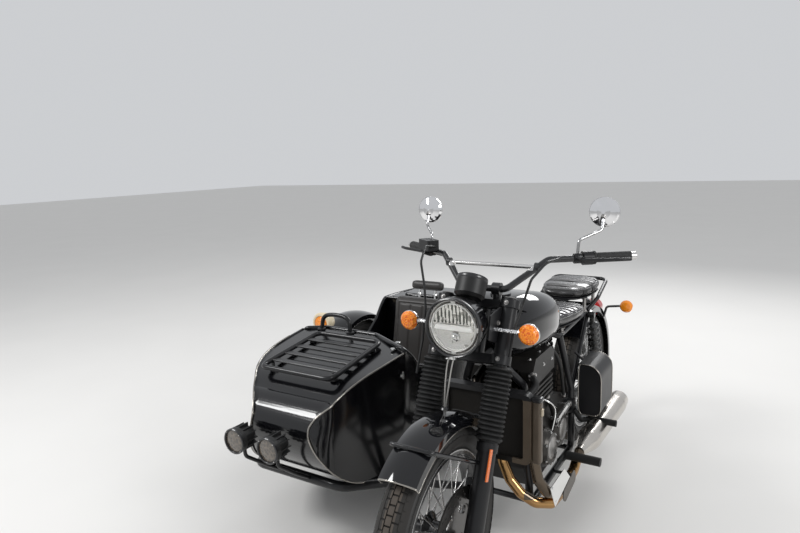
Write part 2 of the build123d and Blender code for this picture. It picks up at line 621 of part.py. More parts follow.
BOX_INNER = 141.0
BOX_OUTER = 236.0
BOX_LOW = 352.0
BOX_HIGH = 574.0
with BuildPart() as side_boxes:
    for side in (-1, 1):
        with BuildSketch(Plane.XZ.offset(-226)):
            with BuildLine():
                Polyline((BIKE_X + side * BOX_INNER, BOX_LOW), (BIKE_X + side * BOX_INNER, BOX_HIGH),
                         (BIKE_X + side * (BOX_OUTER - 52), BOX_HIGH))
                ThreePointArc((BIKE_X + side * (BOX_OUTER - 52), BOX_HIGH),
                              (BIKE_X + side * (BOX_OUTER - 16), BOX_HIGH - 18),
                              (BIKE_X + side * BOX_OUTER, BOX_HIGH - 58))
                Polyline((BIKE_X + side * BOX_OUTER, BOX_HIGH - 58), (BIKE_X + side * BOX_OUTER, BOX_LOW + 20),
                         (BIKE_X + side * (BOX_OUTER - 20), BOX_LOW), (BIKE_X + side * BOX_INNER, BOX_LOW))
            make_face()
        extrude(amount=-200)
        add(tube([at(side * 104, 300, 600), at(side * 150, 300, 560)], 12))
    add(frame.part, mode=Mode.SUBTRACT)
side_boxes.part.label = "side_boxes"
export_step(side_boxes.part, "parts/side_boxes.step")

tail_y, tail_z = round_wheel(REAR_AXLE_Y, AXLE_Z, FENDER_CROWN_R, 132)
with BuildPart() as rear_lamps:
    back_lamp = Plane(origin=at(0, tail_y + 30, tail_z + 22), x_dir=(1, 0, 0), z_dir=(0, 0, -1))
    add(turned(back_lamp, [(0, -40), (34, -36), (44, -24), (44, 30), (0, 44)]))
    for side in (-1, 1):
        blinker = Plane(origin=at(side * 190, tail_y - 60, tail_z + 62), x_dir=(1, 0, 0), z_dir=(0, 0, -1))
        add(turned(blinker, [(0, -30), (20, -24), (31, 0), (31, 12), (22, 22), (0, 26)]))
        add(tube([at(side * 74.4, tail_y - 50, tail_z - 6), at(side * 90, tail_y - 56, tail_z + 50),
                  at(side * 176, tail_y - 60, tail_z + 62)], 12, 20))
    add(rear_fender.part, mode=Mode.SUBTRACT)
rear_lamps.part.label = "rear_lamps"
export_step(rear_lamps.part, "parts/rear_lamps.step")

PIVOT_Y = 188.0
PIVOT_Z = 400.0
ARM_X = 88.0
with BuildPart() as swingarm:
    for side in (-1, 1):
        add(tube([at(side * ARM_X, PIVOT_Y, PIVOT_Z), at(side * ARM_X, REAR_AXLE_Y + 34, AXLE_Z)], 36))
        add(tube([at(side * 72, REAR_AXLE_Y, AXLE_Z), at(side * 106, REAR_AXLE_Y, AXLE_Z)], 46))
    add(tube([at(-102, PIVOT_Y, PIVOT_Z), at(102, PIVOT_Y, PIVOT_Z)], 48))
    add(tube([at(-ARM_X, 300, 386), at(ARM_X, 300, 386)], 34))
    add(tube([at(-118, REAR_AXLE_Y, AXLE_Z), at(118, REAR_AXLE_Y, AXLE_Z)], 2 * AXLE_R))
    add(frame.part, mode=Mode.SUBTRACT)
swingarm.part.label = "swingarm"
export_step(swingarm.part, "parts/swingarm.step")

with BuildPart() as rear_shocks:
    for side in (-1, 1):
        foot = Vector(*at(side * 118, REAR_AXLE_Y - 70, 352))
        top = Vector(*at(side * 118, 520, 716))
        run = top - foot
        add(tube([tuple(foot), tuple(top)], 22))
        coil = Plane(origin=foot + run * 0.2, x_dir=(1, 0, 0), z_dir=Vector(1, 0, 0).cross(run))
        turns = [(0, 0)]
        for turn in range(9):
            base = 2 + turn * run.length * 0.7 / 9
            turns += [(21, base), (29, base + 8), (29, base + 13), (21, base + 20)]
        turns += [(0, run.length * 0.7 + 4)]
        add(turned(coil, turns))
        add(tube([at(side * 106.2, REAR_AXLE_Y - 70, 352), at(side * 132, REAR_AXLE_Y - 70, 352)], 28))
        add(tube([at(side * 103.2, 520, 716), at(side * 132, 520, 716)], 28))
    add(swingarm.part, mode=Mode.SUBTRACT)
    add(frame.part, mode=Mode.SUBTRACT)
rear_shocks.part.label = "rear_shocks"
export_step(rear_shocks.part, "parts/rear_shocks.step")

# Exhaust: two headers that drop ahead of the engine and join on the left, a heat shield over the joint, and the
# muffler behind them. The first header crosses below the engine's front, the second drops down its left side.
MUFFLER_IN = (206.0, 14.0, 284.0)
MUFFLER_OUT = (230.0, 640.0, 290.0)
HEADER_D = 38.0
FIRST_HEADER = ((-60, -300, 690), (-60, -378, 664), (6, -378, 560), (32, -378, 452), (44, -380, 388), (72, -386, 330),
                (112, -384, 286), (158, -366, 254), (198, -312, 234), (208, -200, 236), (208, -70, 248), MUFFLER_IN)
SECOND_HEADER = ((60, -300, 690), (84, -376, 650), (152, -378, 560), (156, -378, 420), (172, -380, 350),
                 (194, -352, 296), (206, -286, 258), (208, -200, 240))
with BuildPart() as header_pipes:
    for route, bend in ((FIRST_HEADER, 30), (SECOND_HEADER, 30)):
        add(tube([at(*spot) for spot in route], HEADER_D, bend))
    shield_plane = Plane(origin=at(232, -214, 262), x_dir=(0, 1, 0), z_dir=(1, 0, 0.1))
    with BuildSketch(shield_plane):
        SlotCenterToCenter(112, 46, rotation=8)
    extrude(amount=3)
    add(tube([at(214, -190, 250), at(233, -190, 262)], 10))
    add(tube([at(214, -250, 250), at(233, -250, 258)], 10))
    for blocking in (frame, engine, engine_covers, radiator_shroud):
        add(blocking.part, mode=Mode.SUBTRACT)
header_pipes.part.label = "header_pipes"
export_step(header_pipes.part, "parts/header_pipes.step")

muffler_run = Vector(*MUFFLER_OUT) - Vector(*MUFFLER_IN)
muffler_len = muffler_run.length
muffler_side = muffler_run.cross(Vector(1, 0, 0)).normalized()
muffler_plane = Plane(origin=at(*MUFFLER_IN), x_dir=muffler_side, z_dir=muffler_side.cross(muffler_run))
MUFFLER_BORE_R = 22.0
MUFFLER_BORE = 90.0
with BuildPart() as muffler:
    add(turned(muffler_plane, [(0, 0.2), (21, 0.2), (24, 26), (44, 110), (48, 140), (49, muffler_len - 90),
                               (42, muffler_len - 20), (26, muffler_len), (MUFFLER_BORE_R, muffler_len),
                               (MUFFLER_BORE_R, muffler_len - MUFFLER_BORE), (0, muffler_len - MUFFLER_BORE)]))
    add(header_pipes.part, mode=Mode.SUBTRACT)
muffler.part.label = "muffler"
export_step(muffler.part, "parts/muffler.step")

# Foot controls: the rider's and the pillion's pegs, the gear lever and the brake pedal.
PEG_Y = -56.0
PEG_Z = 296.0
with BuildPart() as foot_controls:
    for side in (-1, 1):
        add(tube([at(side * 139.2, PEG_Y + 30, 250), at(side * 180, PEG_Y, PEG_Z)], 22))
        add(tube([at(side * 176, PEG_Y, PEG_Z), at(side * 306, PEG_Y, PEG_Z)], 34))
        add(tube([at(side * 134.2, 192, 384), at(side * 158, 212, 330), at(side * 180, 259, 323)], 20, 20))
        add(tube([at(side * 176, 259, 323), at(side * 295, 259, 323)], 28))
        add(tube([at(side * 166, PEG_Y, PEG_Z), at(side * 172, PEG_Y - 150, PEG_Z + 4), at(side * 240, PEG_Y - 158,
                  PEG_Z + 10)], 12, 16))
    for blocking in (frame, engine, engine_covers, header_pipes, muffler):
        add(blocking.part, mode=Mode.SUBTRACT)
foot_controls.part.label = "foot_controls"
export_step(foot_controls.part, "parts/foot_controls.step")

# Chain drive: a roller chain from the output sprocket to the wheel's, two bands of plates joined by a roller for each
# pitch, under a guard.
CHAIN_X = DISC_FACE + 3
CHAIN_PITCH = 15.875
CHAIN_HALF = 3.6
ROLLER_R = 4.6
# Columns: y, z and radius of the chain's path round each sprocket.
CHAIN_PATH = ((128.0, 388.0, 34.0), (REAR_AXLE_Y, AXLE_Z, SPROCKET_R + 4.5))


def chain_loop(grow):
    """The region that the chain's path encloses, grown by the given amount."""
    with BuildSketch(mode=Mode.PRIVATE) as loop:
        for y, z, radius in CHAIN_PATH:
            with Locations((y, z)):
                Circle(radius + grow)
        make_hull()
    return loop.sketch


chain_wire = chain_loop(0).face().outer_wire()
roller_count = round(chain_wire.length / CHAIN_PITCH)
with BuildPart() as chain_drive:
    with BuildSketch(Plane.YZ.offset(BIKE_X - CHAIN_X - 5)):
        with Locations(*[chain_wire @ (roller / roller_count) for roller in range(roller_count)]):
            RegularPolygon(ROLLER_R, 6)
    extrude(amount=10)
    for plate_x in (CHAIN_X - 3, CHAIN_X + 5):
        with BuildSketch(Plane.YZ.offset(BIKE_X - plate_x)):
            add(chain_loop(CHAIN_HALF))
            add(chain_loop(-CHAIN_HALF), mode=Mode.SUBTRACT)
        extrude(amount=2)
    with BuildSketch(Plane.YZ.offset(BIKE_X - CHAIN_X - 15)):
        with BuildLine():
            Polyline((230, 436), (640, 446), (702, 440), (702, 434), (640, 440), (230, 430), close=True)
        make_face()
    extrude(amount=21)
    for bracket_y, foot_z in ((300, 396), (560, 366)):
        add(tube([at(-CHAIN_X - 11, bracket_y, 438), at(-CHAIN_X - 17, bracket_y, foot_z)], 10))
    with BuildSketch(Plane.YZ.offset(BIKE_X - CHAIN_X - 5)):
        with Locations(CHAIN_PATH[0][:2]):
            Circle(CHAIN_PATH[0][2] - 2)
    extrude(amount=8)
    for blocking in (frame, engine, engine_covers, swingarm):
        add(blocking.part, mode=Mode.SUBTRACT)
chain_drive.part.label = "chain_drive"
export_step(chain_drive.part, "parts/chain_drive.step")

# Sidecar tub: a side outline and a plan outline meet in one hollow shell, with a bead round each side panel, a
# cockpit whose sides dip behind the nose deck, a rolled rim round the cockpit, and a trunk behind the bulkhead.
TUB_HALF = 300.0
TUB_WALL = 8.0
TUB_INNER = TUB_HALF - TUB_WALL
TUB_LOW = 236.0
DECK_Z = 704.0
BEAD = 5.0
NOSE_Y = -740.0
TAIL_Y = 790.0
COWL_Y = -277.0
BULKHEAD_Y = 512.0
# The rolled rim's corners, from the rear deck along the bike's side, across the nose deck and back on the far side.
RIM = ((4, 500, 706), (294, 500, 706), (294, 462, 672), (294, 400, 606), (294, 270, 554), (294, -24, 554),
       (294, -77, 576), (294, -171, 608), (294, -225, 666), (294, COWL_Y, 706), (80, -152, 707), (-200, -142, 707),
       (-294, -195, 706), (-294, -150, 650), (-294, -100, 602), (-294, -30, 548), (-294, 60, 526), (-294, 290, 526),
       (-294, 400, 600), (-294, 462, 672), (-294, 500, 706), (-4, 500, 706))


def side_outline():
    """The tub seen from the side, in the sidecar's middle plane."""
    Polyline((-672, 634), (-270, 690), (-160, DECK_Z), (760, DECK_Z))
    ThreePointArc((760, DECK_Z), (796, 690), (808, 650))
    Line((808, 650), (782, 340))
    ThreePointArc((782, 340), (756, 270), (690, TUB_LOW + 2))
    Line((690, TUB_LOW + 2), (-420, TUB_LOW))
    ThreePointArc((-420, TUB_LOW), (-640, 316), (-752, 500))
    ThreePointArc((-752, 500), (-758, 560), (-745, 600))
    ThreePointArc((-745, 600), (-720, 624), (-672, 634))


def plan_outline():
    """The tub seen from above: straight sides, a nose that narrows more on the far side, and a tapered tail."""
    Line((CAR_X + TUB_HALF, 480), (CAR_X + TUB_HALF, COWL_Y))
    ThreePointArc((CAR_X + TUB_HALF, COWL_Y), (CAR_X + 266, -485), (CAR_X + 226, -672))
    ThreePointArc((CAR_X + 226, -672), (CAR_X + 208, -728), (CAR_X + 170, -760))
    Line((CAR_X + 170, -760), (CAR_X - 96, -760))
    ThreePointArc((CAR_X - 96, -760), (CAR_X - 142, -714), (CAR_X - 190, -640))
    ThreePointArc((CAR_X - 190, -640), (CAR_X - 262, -510), (CAR_X - TUB_HALF, -330))
    Line((CAR_X - TUB_HALF, -330), (CAR_X - TUB_HALF, 480))
    ThreePointArc((CAR_X - TUB_HALF, 480), (CAR_X - 284, 660), (CAR_X - 240, 812))
    Line((CAR_X - 240, 812), (CAR_X + 240, 812))
    ThreePointArc((CAR_X + 240, 812), (CAR_X + 284, 660), (CAR_X + TUB_HALF, 480))


def tub_block(side_grow, plan_grow):
    """The tub's form with its side outline and its plan outline each grown by the given amount."""
    with BuildPart(mode=Mode.PRIVATE) as block:
        with BuildSketch(CAR_MIDDLE):
            with BuildLine():
                side_outline()
            make_face()
            if side_grow:
                offset(amount=side_grow, mode=Mode.REPLACE)
        extrude(amount=TUB_HALF + 10, both=True)
        with BuildSketch(Plane.XY):
            with BuildLine():
                plan_outline()
            make_face()
            if plan_grow:
                offset(amount=plan_grow, mode=Mode.REPLACE)
        extrude(amount=DECK_Z + 20, mode=Mode.INTERSECT)
    return block.part


outer_form = tub_block(0, 0)
with BuildPart(mode=Mode.PRIVATE) as bead:
    add(tub_block(BEAD, 0))
    add(tub_block(BEAD + 5, -TUB_WALL + 1), mode=Mode.SUBTRACT)
    with BuildSketch(Plane.XY):
        with Locations((CAR_X, (NOSE_Y + TAIL_Y) / 2)):
            Rectangle(2 * TUB_HALF + 20, TAIL_Y - NOSE_Y)
    extrude(amount=DECK_Z + 40, mode=Mode.INTERSECT)

with BuildPart() as sidecar_tub:
    add(outer_form)
    add(tub_block(-TUB_WALL, -TUB_WALL), mode=Mode.SUBTRACT)
    with BuildSketch(Plane.XZ.offset(-BULKHEAD_Y)):
        with Locations((CAR_X, 470)):
            Rectangle(2 * TUB_HALF, 520)
    extrude(amount=-TUB_WALL)
    with BuildSketch(Plane.XY.offset(TUB_LOW + 1)):
        with Locations((CAR_X, (BULKHEAD_Y - 46) / 2)):
            Rectangle(2 * TUB_INNER + 8, BULKHEAD_Y + 50)
    extrude(amount=330 - TUB_LOW - 1)
    add(outer_form, mode=Mode.INTERSECT)
    add(bead.part)
    with BuildSketch(Plane.XY.offset(DECK_Z - 60)):
        with BuildLine():
            Polyline((CAR_X + TUB_INNER, COWL_Y + 3), (CAR_X + 80, -150), (CAR_X - 200, -140),
                     (CAR_X - TUB_INNER, -193), (CAR_X - TUB_INNER, BULKHEAD_Y - 10),
                     (CAR_X + TUB_INNER, BULKHEAD_Y - 10), close=True)
        make_face()
        with Locations((CAR_X, 660)):
            RectangleRounded(380, 190, 20)
    extrude(amount=90, mode=Mode.SUBTRACT)
    for side, first, last in ((1, 1, 9), (-1, 12, 20)):
        with BuildSketch(Plane.YZ.offset(CAR_X + side * (TUB_INNER - 6))):
            with BuildLine():
                Polyline(*[(y, z) for x, y, z in RIM[first:last + 1]], (RIM[last][1], DECK_Z + 30),
                         (RIM[first][1], DECK_Z + 30), close=True)
            make_face()
        extrude(amount=side * 30, mode=Mode.SUBTRACT)
    add(tube([off_car(*corner) for corner in RIM], 18, 20))
    add(tube([off_car(*RIM[0]), off_car(*RIM[-1])], 18))
sidecar_tub.part.label = "sidecar_tub"
export_step(sidecar_tub.part, "parts/sidecar_tub.step")

# Trunk lid: a shallow panel over the trunk opening, hinged behind the seat back.
LID_HINGE = (548.0, 716.0)
with BuildPart() as trunk_lid:
    with BuildSketch(Plane.XY.offset(DECK_Z + 0.6)):
        with Locations((CAR_X, 662)):
            RectangleRounded(420, 212, 26)
    extrude(amount=22)
    fillet(trunk_lid.faces().sort_by(Axis.Z)[-1].edges(), 10)
    for side in (-1, 1):
        add(tube([off_car(side * 120 - 20, *LID_HINGE), off_car(side * 120 + 20, *LID_HINGE)], 16))
        with BuildSketch(Plane.YZ.offset(CAR_X + side * 120 - 14)):
            with Locations((556, LID_HINGE[1])):
                Rectangle(20, 8)
        extrude(amount=28)
        add(tube([off_car(side * 120 - 30, *LID_HINGE), off_car(side * 120 + 30, *LID_HINGE)], 8.1),
            mode=Mode.SUBTRACT)
trunk_lid.part.label = "trunk_lid"
export_step(trunk_lid.part, "parts/trunk_lid.step")

# Rack, passenger rail and lid hinge pins on the tub: bent tube on short feet, with three cross slats.
RACK_HALF = 172.0
RACK_FRONT = (-590.0, 690.0)
RACK_REAR = (-280.0, 732.0)
with BuildPart() as tub_rails:
    rack_slope = (RACK_REAR[1] - RACK_FRONT[1]) / (RACK_REAR[0] - RACK_FRONT[0])
    half_rack = [(0, *RACK_REAR), (RACK_HALF, *RACK_REAR), (RACK_HALF, *RACK_FRONT), (0, *RACK_FRONT)]
    for side in (-1, 1):
        add(tube([off_car(side * x, y, z) for x, y, z in half_rack], 16, 40))
        for foot_y in (-548, -322):
            foot_z = RACK_FRONT[1] + (foot_y - RACK_FRONT[0]) * rack_slope
            add(tube([off_car(side * 150, foot_y, foot_z - 46), off_car(side * 150, foot_y, foot_z)], 12))
        add(tube([off_car(side * 120 - 30, *LID_HINGE), off_car(side * 120 + 30, *LID_HINGE)], 8))
        for end in (-1, 1):
            add(tube([off_car(side * 120 + end * 26, LID_HINGE[0], DECK_Z - 4),
                      off_car(side * 120 + end * 26, *LID_HINGE)], 9))
    add(tube([off_car(-228, -168, DECK_Z - 4), off_car(-202, -158, 757), off_car(-84, -158, 757),
              off_car(-54, -168, DECK_Z - 4)], 16, 26))
    for slat_y in (-512, -435, -358):
        slat_z = RACK_FRONT[1] + (slat_y - RACK_FRONT[0]) * rack_slope
        with BuildSketch(Plane(origin=off_car(-RACK_HALF, slat_y, slat_z), x_dir=(0, 1, rack_slope),
                               z_dir=(1, 0, 0))):
            SlotOverall(40, 9)
        extrude(amount=2 * RACK_HALF)
    add(sidecar_tub.part, mode=Mode.SUBTRACT)
tub_rails.part.label = "tub_rails"
export_step(tub_rails.part, "parts/tub_rails.step")

# Sidecar seat: plain cushion and back, and a head pad on two posts from the back's top.
SEAT_Y = 366.0
SEAT_Z = 339.5
SEAT_RISE = 424.0
SEAT_LEAN = 12.0
with BuildPart() as seat_cushion:
    with BuildSketch(Plane.XY.offset(330.2)):
        with Locations((CAR_X, 135)):
            RectangleRounded(500, 366, 60)
    extrude(amount=110)
    fillet(seat_cushion.faces().sort_by(Axis.Z)[-1].edges(), 26)
seat_cushion.part.label = "seat_cushion"
export_step(seat_cushion.part, "parts/seat_cushion.step")

back_plane = Plane(origin=off_car(0, SEAT_Y, SEAT_Z), x_dir=(1, 0, 0),
                   z_dir=(0, sin(radians(SEAT_LEAN)), cos(radians(SEAT_LEAN))))
with BuildPart() as seat_back:
    with BuildSketch(back_plane):
        RectangleRounded(390, 84, 30)
    extrude(amount=SEAT_RISE)
    fillet(seat_back.faces().sort_by(Axis.Z)[-1].edges(), 24)
    add(tube([off_car(0, SEAT_Y + 70, 560), off_car(0, BULKHEAD_Y - 0.2, 560)], 60))
    add(sidecar_tub.part, mode=Mode.SUBTRACT)
seat_back.part.label = "seat_back"
export_step(seat_back.part, "parts/seat_back.step")

pad_plane = back_plane.offset(SEAT_RISE + 18)
with BuildPart() as head_pad:
    with BuildSketch(pad_plane):
        RectangleRounded(196, 54, 24)
    extrude(amount=58)
    fillet(head_pad.faces().sort_by(Axis.Z)[-1].edges(), 16)
    for side in (-1, 1):
        post = back_plane.from_local_coords(Vector(side * 46, 0, SEAT_RISE - 30))
        peak = back_plane.from_local_coords(Vector(side * 46, 0, SEAT_RISE + 30))
        add(tube([(post.X, post.Y, post.Z), (peak.X, peak.Y, peak.Z)], 12))
    add(seat_back.part, mode=Mode.SUBTRACT)
head_pad.part.label = "head_pad"
export_step(head_pad.part, "parts/head_pad.step")

# Sidecar chassis: a perimeter of tube with crossmembers and tub mounts, four struts to the motorcycle and the lamp
# brackets.
CHASSIS_D = 38.0
CHASSIS_Z = 212.0
FOG_X = 80.0
FOG_Y = -849.0
FOG_Z = 478.0
FOG_R = 47.0
RAIL_X = TUB_HALF - 4
with BuildPart() as sidecar_chassis:
    half_loop = [(0, -612, 258), (206, -612, 258), (RAIL_X, -430, CHASSIS_Z), (RAIL_X, 620, CHASSIS_Z),
                 (0, 620, CHASSIS_Z)]
    for side in (-1, 1):
        add(tube([off_car(side * x, y, z) for x, y, z in half_loop], CHASSIS_D, 50))
        add(tube([off_car(side * 66, -612, 258), off_car(side * 66, -700, 320), off_car(side * FOG_X, -800, 400),
                  off_car(side * FOG_X, FOG_Y + 46, FOG_Z - 40)], 14, 30))
    for cross_y in (-220, 190):
        add(tube([off_car(-RAIL_X, cross_y, CHASSIS_Z), off_car(RAIL_X, cross_y, CHASSIS_Z)], 32))
        for side in (-1, 1):
            add(tube([off_car(side * 190, cross_y, CHASSIS_Z), off_car(side * 190, cross_y, TUB_LOW + 4)], 44))
    inner_x = CAR_X - BIKE_X + RAIL_X
    add(tube([at(inner_x, -420, CHASSIS_Z), at(-CRADLE_X, -316, RAIL_Z)], 30))
    add(tube([at(inner_x, 190, CHASSIS_Z), at(-CRADLE_X, 160, RAIL_Z)], 30))
    add(tube([at(inner_x, -400, CHASSIS_Z), at(-117, -340, 560)], 26))
    add(tube([at(inner_x, 260, CHASSIS_Z), at(-380, 262, 250), at(-121, 192, 282)], 26, 20))
    add(tube([off_car(-RAIL_X, 150, CHASSIS_Z), off_car(-RAIL_X - 44, 160, CHASSIS_Z)], 44))
    for blocking in (frame, engine_covers, sidecar_tub):
        add(blocking.part, mode=Mode.SUBTRACT)
sidecar_chassis.part.label = "sidecar_chassis"
export_step(sidecar_chassis.part, "parts/sidecar_chassis.step")

# Wheel arm: a trailing arm from the chassis to the stub axle, with its shock up to the tub's side.
ARM_OUT = CAR_WHEEL_X + 84
SHOCK_OUT = CAR_X - TUB_HALF - 32
shock_foot = Vector(SHOCK_OUT, 292, 262)
shock_top = Vector(SHOCK_OUT, 258, 480)
shock_run = shock_top - shock_foot
with BuildPart() as wheel_arm:
    add(tube([(CAR_X - RAIL_X - 44.2, 160, CHASSIS_Z), (CAR_X - RAIL_X - 82, 160, CHASSIS_Z)], 48))
    add(tube([(ARM_OUT, 160, CHASSIS_Z), (ARM_OUT, 270, 238), (ARM_OUT, CAR_AXLE_Y, CAR_TYRE_R)], 36, 60))
    add(tube([(ARM_OUT + 18, CAR_AXLE_Y, CAR_TYRE_R), (CAR_WHEEL_X + HUB_HALF + 9, CAR_AXLE_Y, CAR_TYRE_R)], 50))
    add(tube([(ARM_OUT, CAR_AXLE_Y, CAR_TYRE_R), (CAR_WHEEL_X - 62, CAR_AXLE_Y, CAR_TYRE_R)], 2 * AXLE_R))
    add(tube([(CAR_WHEEL_X - HUB_HALF - 9, CAR_AXLE_Y, CAR_TYRE_R), (CAR_WHEEL_X - 62, CAR_AXLE_Y, CAR_TYRE_R)], 30))
    add(tube([tuple(shock_foot), tuple(shock_top)], 18))
    coil = Plane(origin=shock_foot + shock_run * 0.16, x_dir=(1, 0, 0), z_dir=Vector(1, 0, 0).cross(shock_run))
    coil_turns = [(0, 0)]
    for turn in range(8):
        base = 2 + turn * shock_run.length * 0.7 / 8
        coil_turns += [(17, base), (24, base + 7), (24, base + 11), (17, base + 18)]
    coil_turns += [(0, shock_run.length * 0.7 + 4)]
    add(turned(coil, coil_turns))
    add(tube([(ARM_OUT - 16, 292, 250), (SHOCK_OUT + 12, 292, 262)], 22))
    add(tube([(SHOCK_OUT - 12, 258, 480), (CAR_X - TUB_HALF + 2, 258, 480)], 26))
    for blocking in (sidecar_chassis, sidecar_tub):
        add(blocking.part, mode=Mode.SUBTRACT)
wheel_arm.part.label = "wheel_arm"
export_step(wheel_arm.part, "parts/wheel_arm.step")

# Sidecar fender on two stays from the chassis.
CAR_FENDER_R = 319.0
CAR_FENDER_HALF = FENDER_OUTER - SIDECAR_TRACK
with BuildPart() as sidecar_fender:
    add(arch(CAR_WHEEL_X, CAR_AXLE_Y, CAR_TYRE_R, CAR_FENDER_HALF, CAR_FENDER_R, 14, 158))
    for stay_y, fender_angle in ((40, 20), (600, 166)):
        edge_y, edge_z = round_wheel(CAR_AXLE_Y, CAR_TYRE_R, CAR_FENDER_R - 10, fender_angle)
        add(tube([off_car(-RAIL_X - 10, stay_y, CHASSIS_Z + 6), off_car(-RAIL_X - 46, stay_y, CHASSIS_Z + 60),
                  (CAR_WHEEL_X + CAR_FENDER_HALF - 1, edge_y, edge_z)], 18, 24))
    for blocking in (sidecar_chassis, sidecar_tub, wheel_arm):
        add(blocking.part, mode=Mode.SUBTRACT)
sidecar_fender.part.label = "sidecar_fender"
export_step(sidecar_fender.part, "parts/sidecar_fender.step")

# Sidecar lamps: a marker and a tail lamp on posts from the fender, and two finned fog lamps at the nose.
FOG_FINS = 12
MARKER = (-1184.0, 149.0, 624.0)
TAIL_LAMP = (-1087.0, 684.0, 530.0)
with BuildPart() as sidecar_lamps:
    for side in (-1, 1):
        fog = Plane(origin=off_car(side * FOG_X, FOG_Y, FOG_Z), x_dir=(1, 0, 0), z_dir=(0, 0, 1))
        add(turned(fog, [(0, 4), (FOG_R - 5, 4), (FOG_R - 4, 0), (FOG_R, 0), (FOG_R, 22), (FOG_R - 9, 26),
                         (FOG_R - 14, 70), (FOG_R - 22, 82), (0, 86)]))
        for fin in range(FOG_FINS):
            angle = radians(fin * 360 / FOG_FINS)
            rib = Plane(origin=off_car(side * FOG_X, FOG_Y + 22, FOG_Z), x_dir=(cos(angle), 0, sin(angle)),
                        z_dir=(0, 1, 0))
            with BuildSketch(rib):
                with Locations((FOG_R - 10, 0)):
                    Rectangle(18, 4)
            extrude(amount=50)
    marker = Plane(origin=at(*MARKER), x_dir=(1, 0, 0), z_dir=(0, 0, 1))
    add(turned(marker, [(0, -34), (20, -32), (31, -22), (32, -12), (45, -10), (45, 2), (34, 26), (26, 56), (0, 56)]))
    add(tube([at(MARKER[0], MARKER[1] + 22, MARKER[2] - 20), at(MARKER[0] + 10, MARKER[1] + 30, MARKER[2] - 61)], 24))
    tail = Plane(origin=at(*TAIL_LAMP), x_dir=(1, 0, 0), z_dir=(0, 0, -1))
    add(turned(tail, [(0, -34), (26, -32), (38, -20), (38, -8), (43, -6), (43, 4), (36, 20), (30, 46), (0, 52)]))
    add(tube([at(TAIL_LAMP[0], TAIL_LAMP[1] - 24, TAIL_LAMP[2] - 16),
              at(TAIL_LAMP[0] - 14, TAIL_LAMP[1] - 34, TAIL_LAMP[2] - 46)], 22))
    for blocking in (sidecar_fender, sidecar_chassis):
        add(blocking.part, mode=Mode.SUBTRACT)
sidecar_lamps.part.label = "sidecar_lamps"
export_step(sidecar_lamps.part, "parts/sidecar_lamps.step")
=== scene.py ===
import json
from contextlib import contextmanager
from math import atan2, cos, exp, hypot, pi, radians, sin

import bmesh
import bpy
from mathutils import Matrix, Vector
from mathutils.bvhtree import BVHTree


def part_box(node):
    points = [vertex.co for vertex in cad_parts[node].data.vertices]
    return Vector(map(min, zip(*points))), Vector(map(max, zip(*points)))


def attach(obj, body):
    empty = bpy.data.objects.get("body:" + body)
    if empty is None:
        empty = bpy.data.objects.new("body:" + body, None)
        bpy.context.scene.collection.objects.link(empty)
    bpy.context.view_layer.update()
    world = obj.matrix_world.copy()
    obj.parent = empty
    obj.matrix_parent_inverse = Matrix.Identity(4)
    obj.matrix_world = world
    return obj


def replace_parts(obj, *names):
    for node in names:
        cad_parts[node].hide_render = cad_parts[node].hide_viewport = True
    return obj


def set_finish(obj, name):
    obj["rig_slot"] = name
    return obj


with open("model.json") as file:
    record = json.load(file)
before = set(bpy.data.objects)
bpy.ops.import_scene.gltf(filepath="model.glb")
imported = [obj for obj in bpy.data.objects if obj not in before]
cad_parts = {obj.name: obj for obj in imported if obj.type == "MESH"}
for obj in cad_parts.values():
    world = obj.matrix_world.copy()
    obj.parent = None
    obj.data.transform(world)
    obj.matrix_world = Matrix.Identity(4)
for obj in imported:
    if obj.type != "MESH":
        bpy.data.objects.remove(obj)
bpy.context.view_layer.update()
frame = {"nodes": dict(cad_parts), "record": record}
NODES = frame["nodes"]
SCENE = bpy.context.scene

# Places that the looks share with the CAD model. Shapes are in millimetres, materials in metres.
tyre_low, tyre_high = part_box("front_tyre")
BIKE_X = (tyre_low[0] + tyre_high[0]) / 2 * 1000
CAR_X = BIKE_X - 710
WHEEL_X = BIKE_X - 1150
MIDDLE = BIKE_X / 1000
RAKE = radians(25)
FRONT_Y, REAR_Y, AXLE_Z = -785, 749, 334
# Columns: x and y of the axle, the tyre's radius, its width. Each axle stands as high as its tyre's radius.
WHEELS = {"front": (BIKE_X, FRONT_Y, AXLE_Z, 96), "rear": (BIKE_X, REAR_Y, AXLE_Z, 104),
          "sidecar": (WHEEL_X, 380, 300, 116)}
TYRE_TALL = 88
SIDES = ((-1, "right"), (1, "left"))


def mm(x, y, z):
    return Vector((x, y, z)) / 1000


def bike(x, y, z):
    """A place in the motorcycle's frame, with x from its middle."""
    return mm(BIKE_X + x, y, z)


def car(x, y, z):
    """A place in the sidecar's frame, with x from its middle."""
    return mm(CAR_X + x, y, z)


def shift(x, y, z):
    return Matrix.Translation(mm(x, y, z))


def polar(radius, angle, z):
    return mm(radius * cos(angle), radius * sin(angle), z)


# ---------------------------------------------------------------- materials
ZONED = ("Base Color", "Roughness", "Metallic")
COAT_ROUGH = 0.03


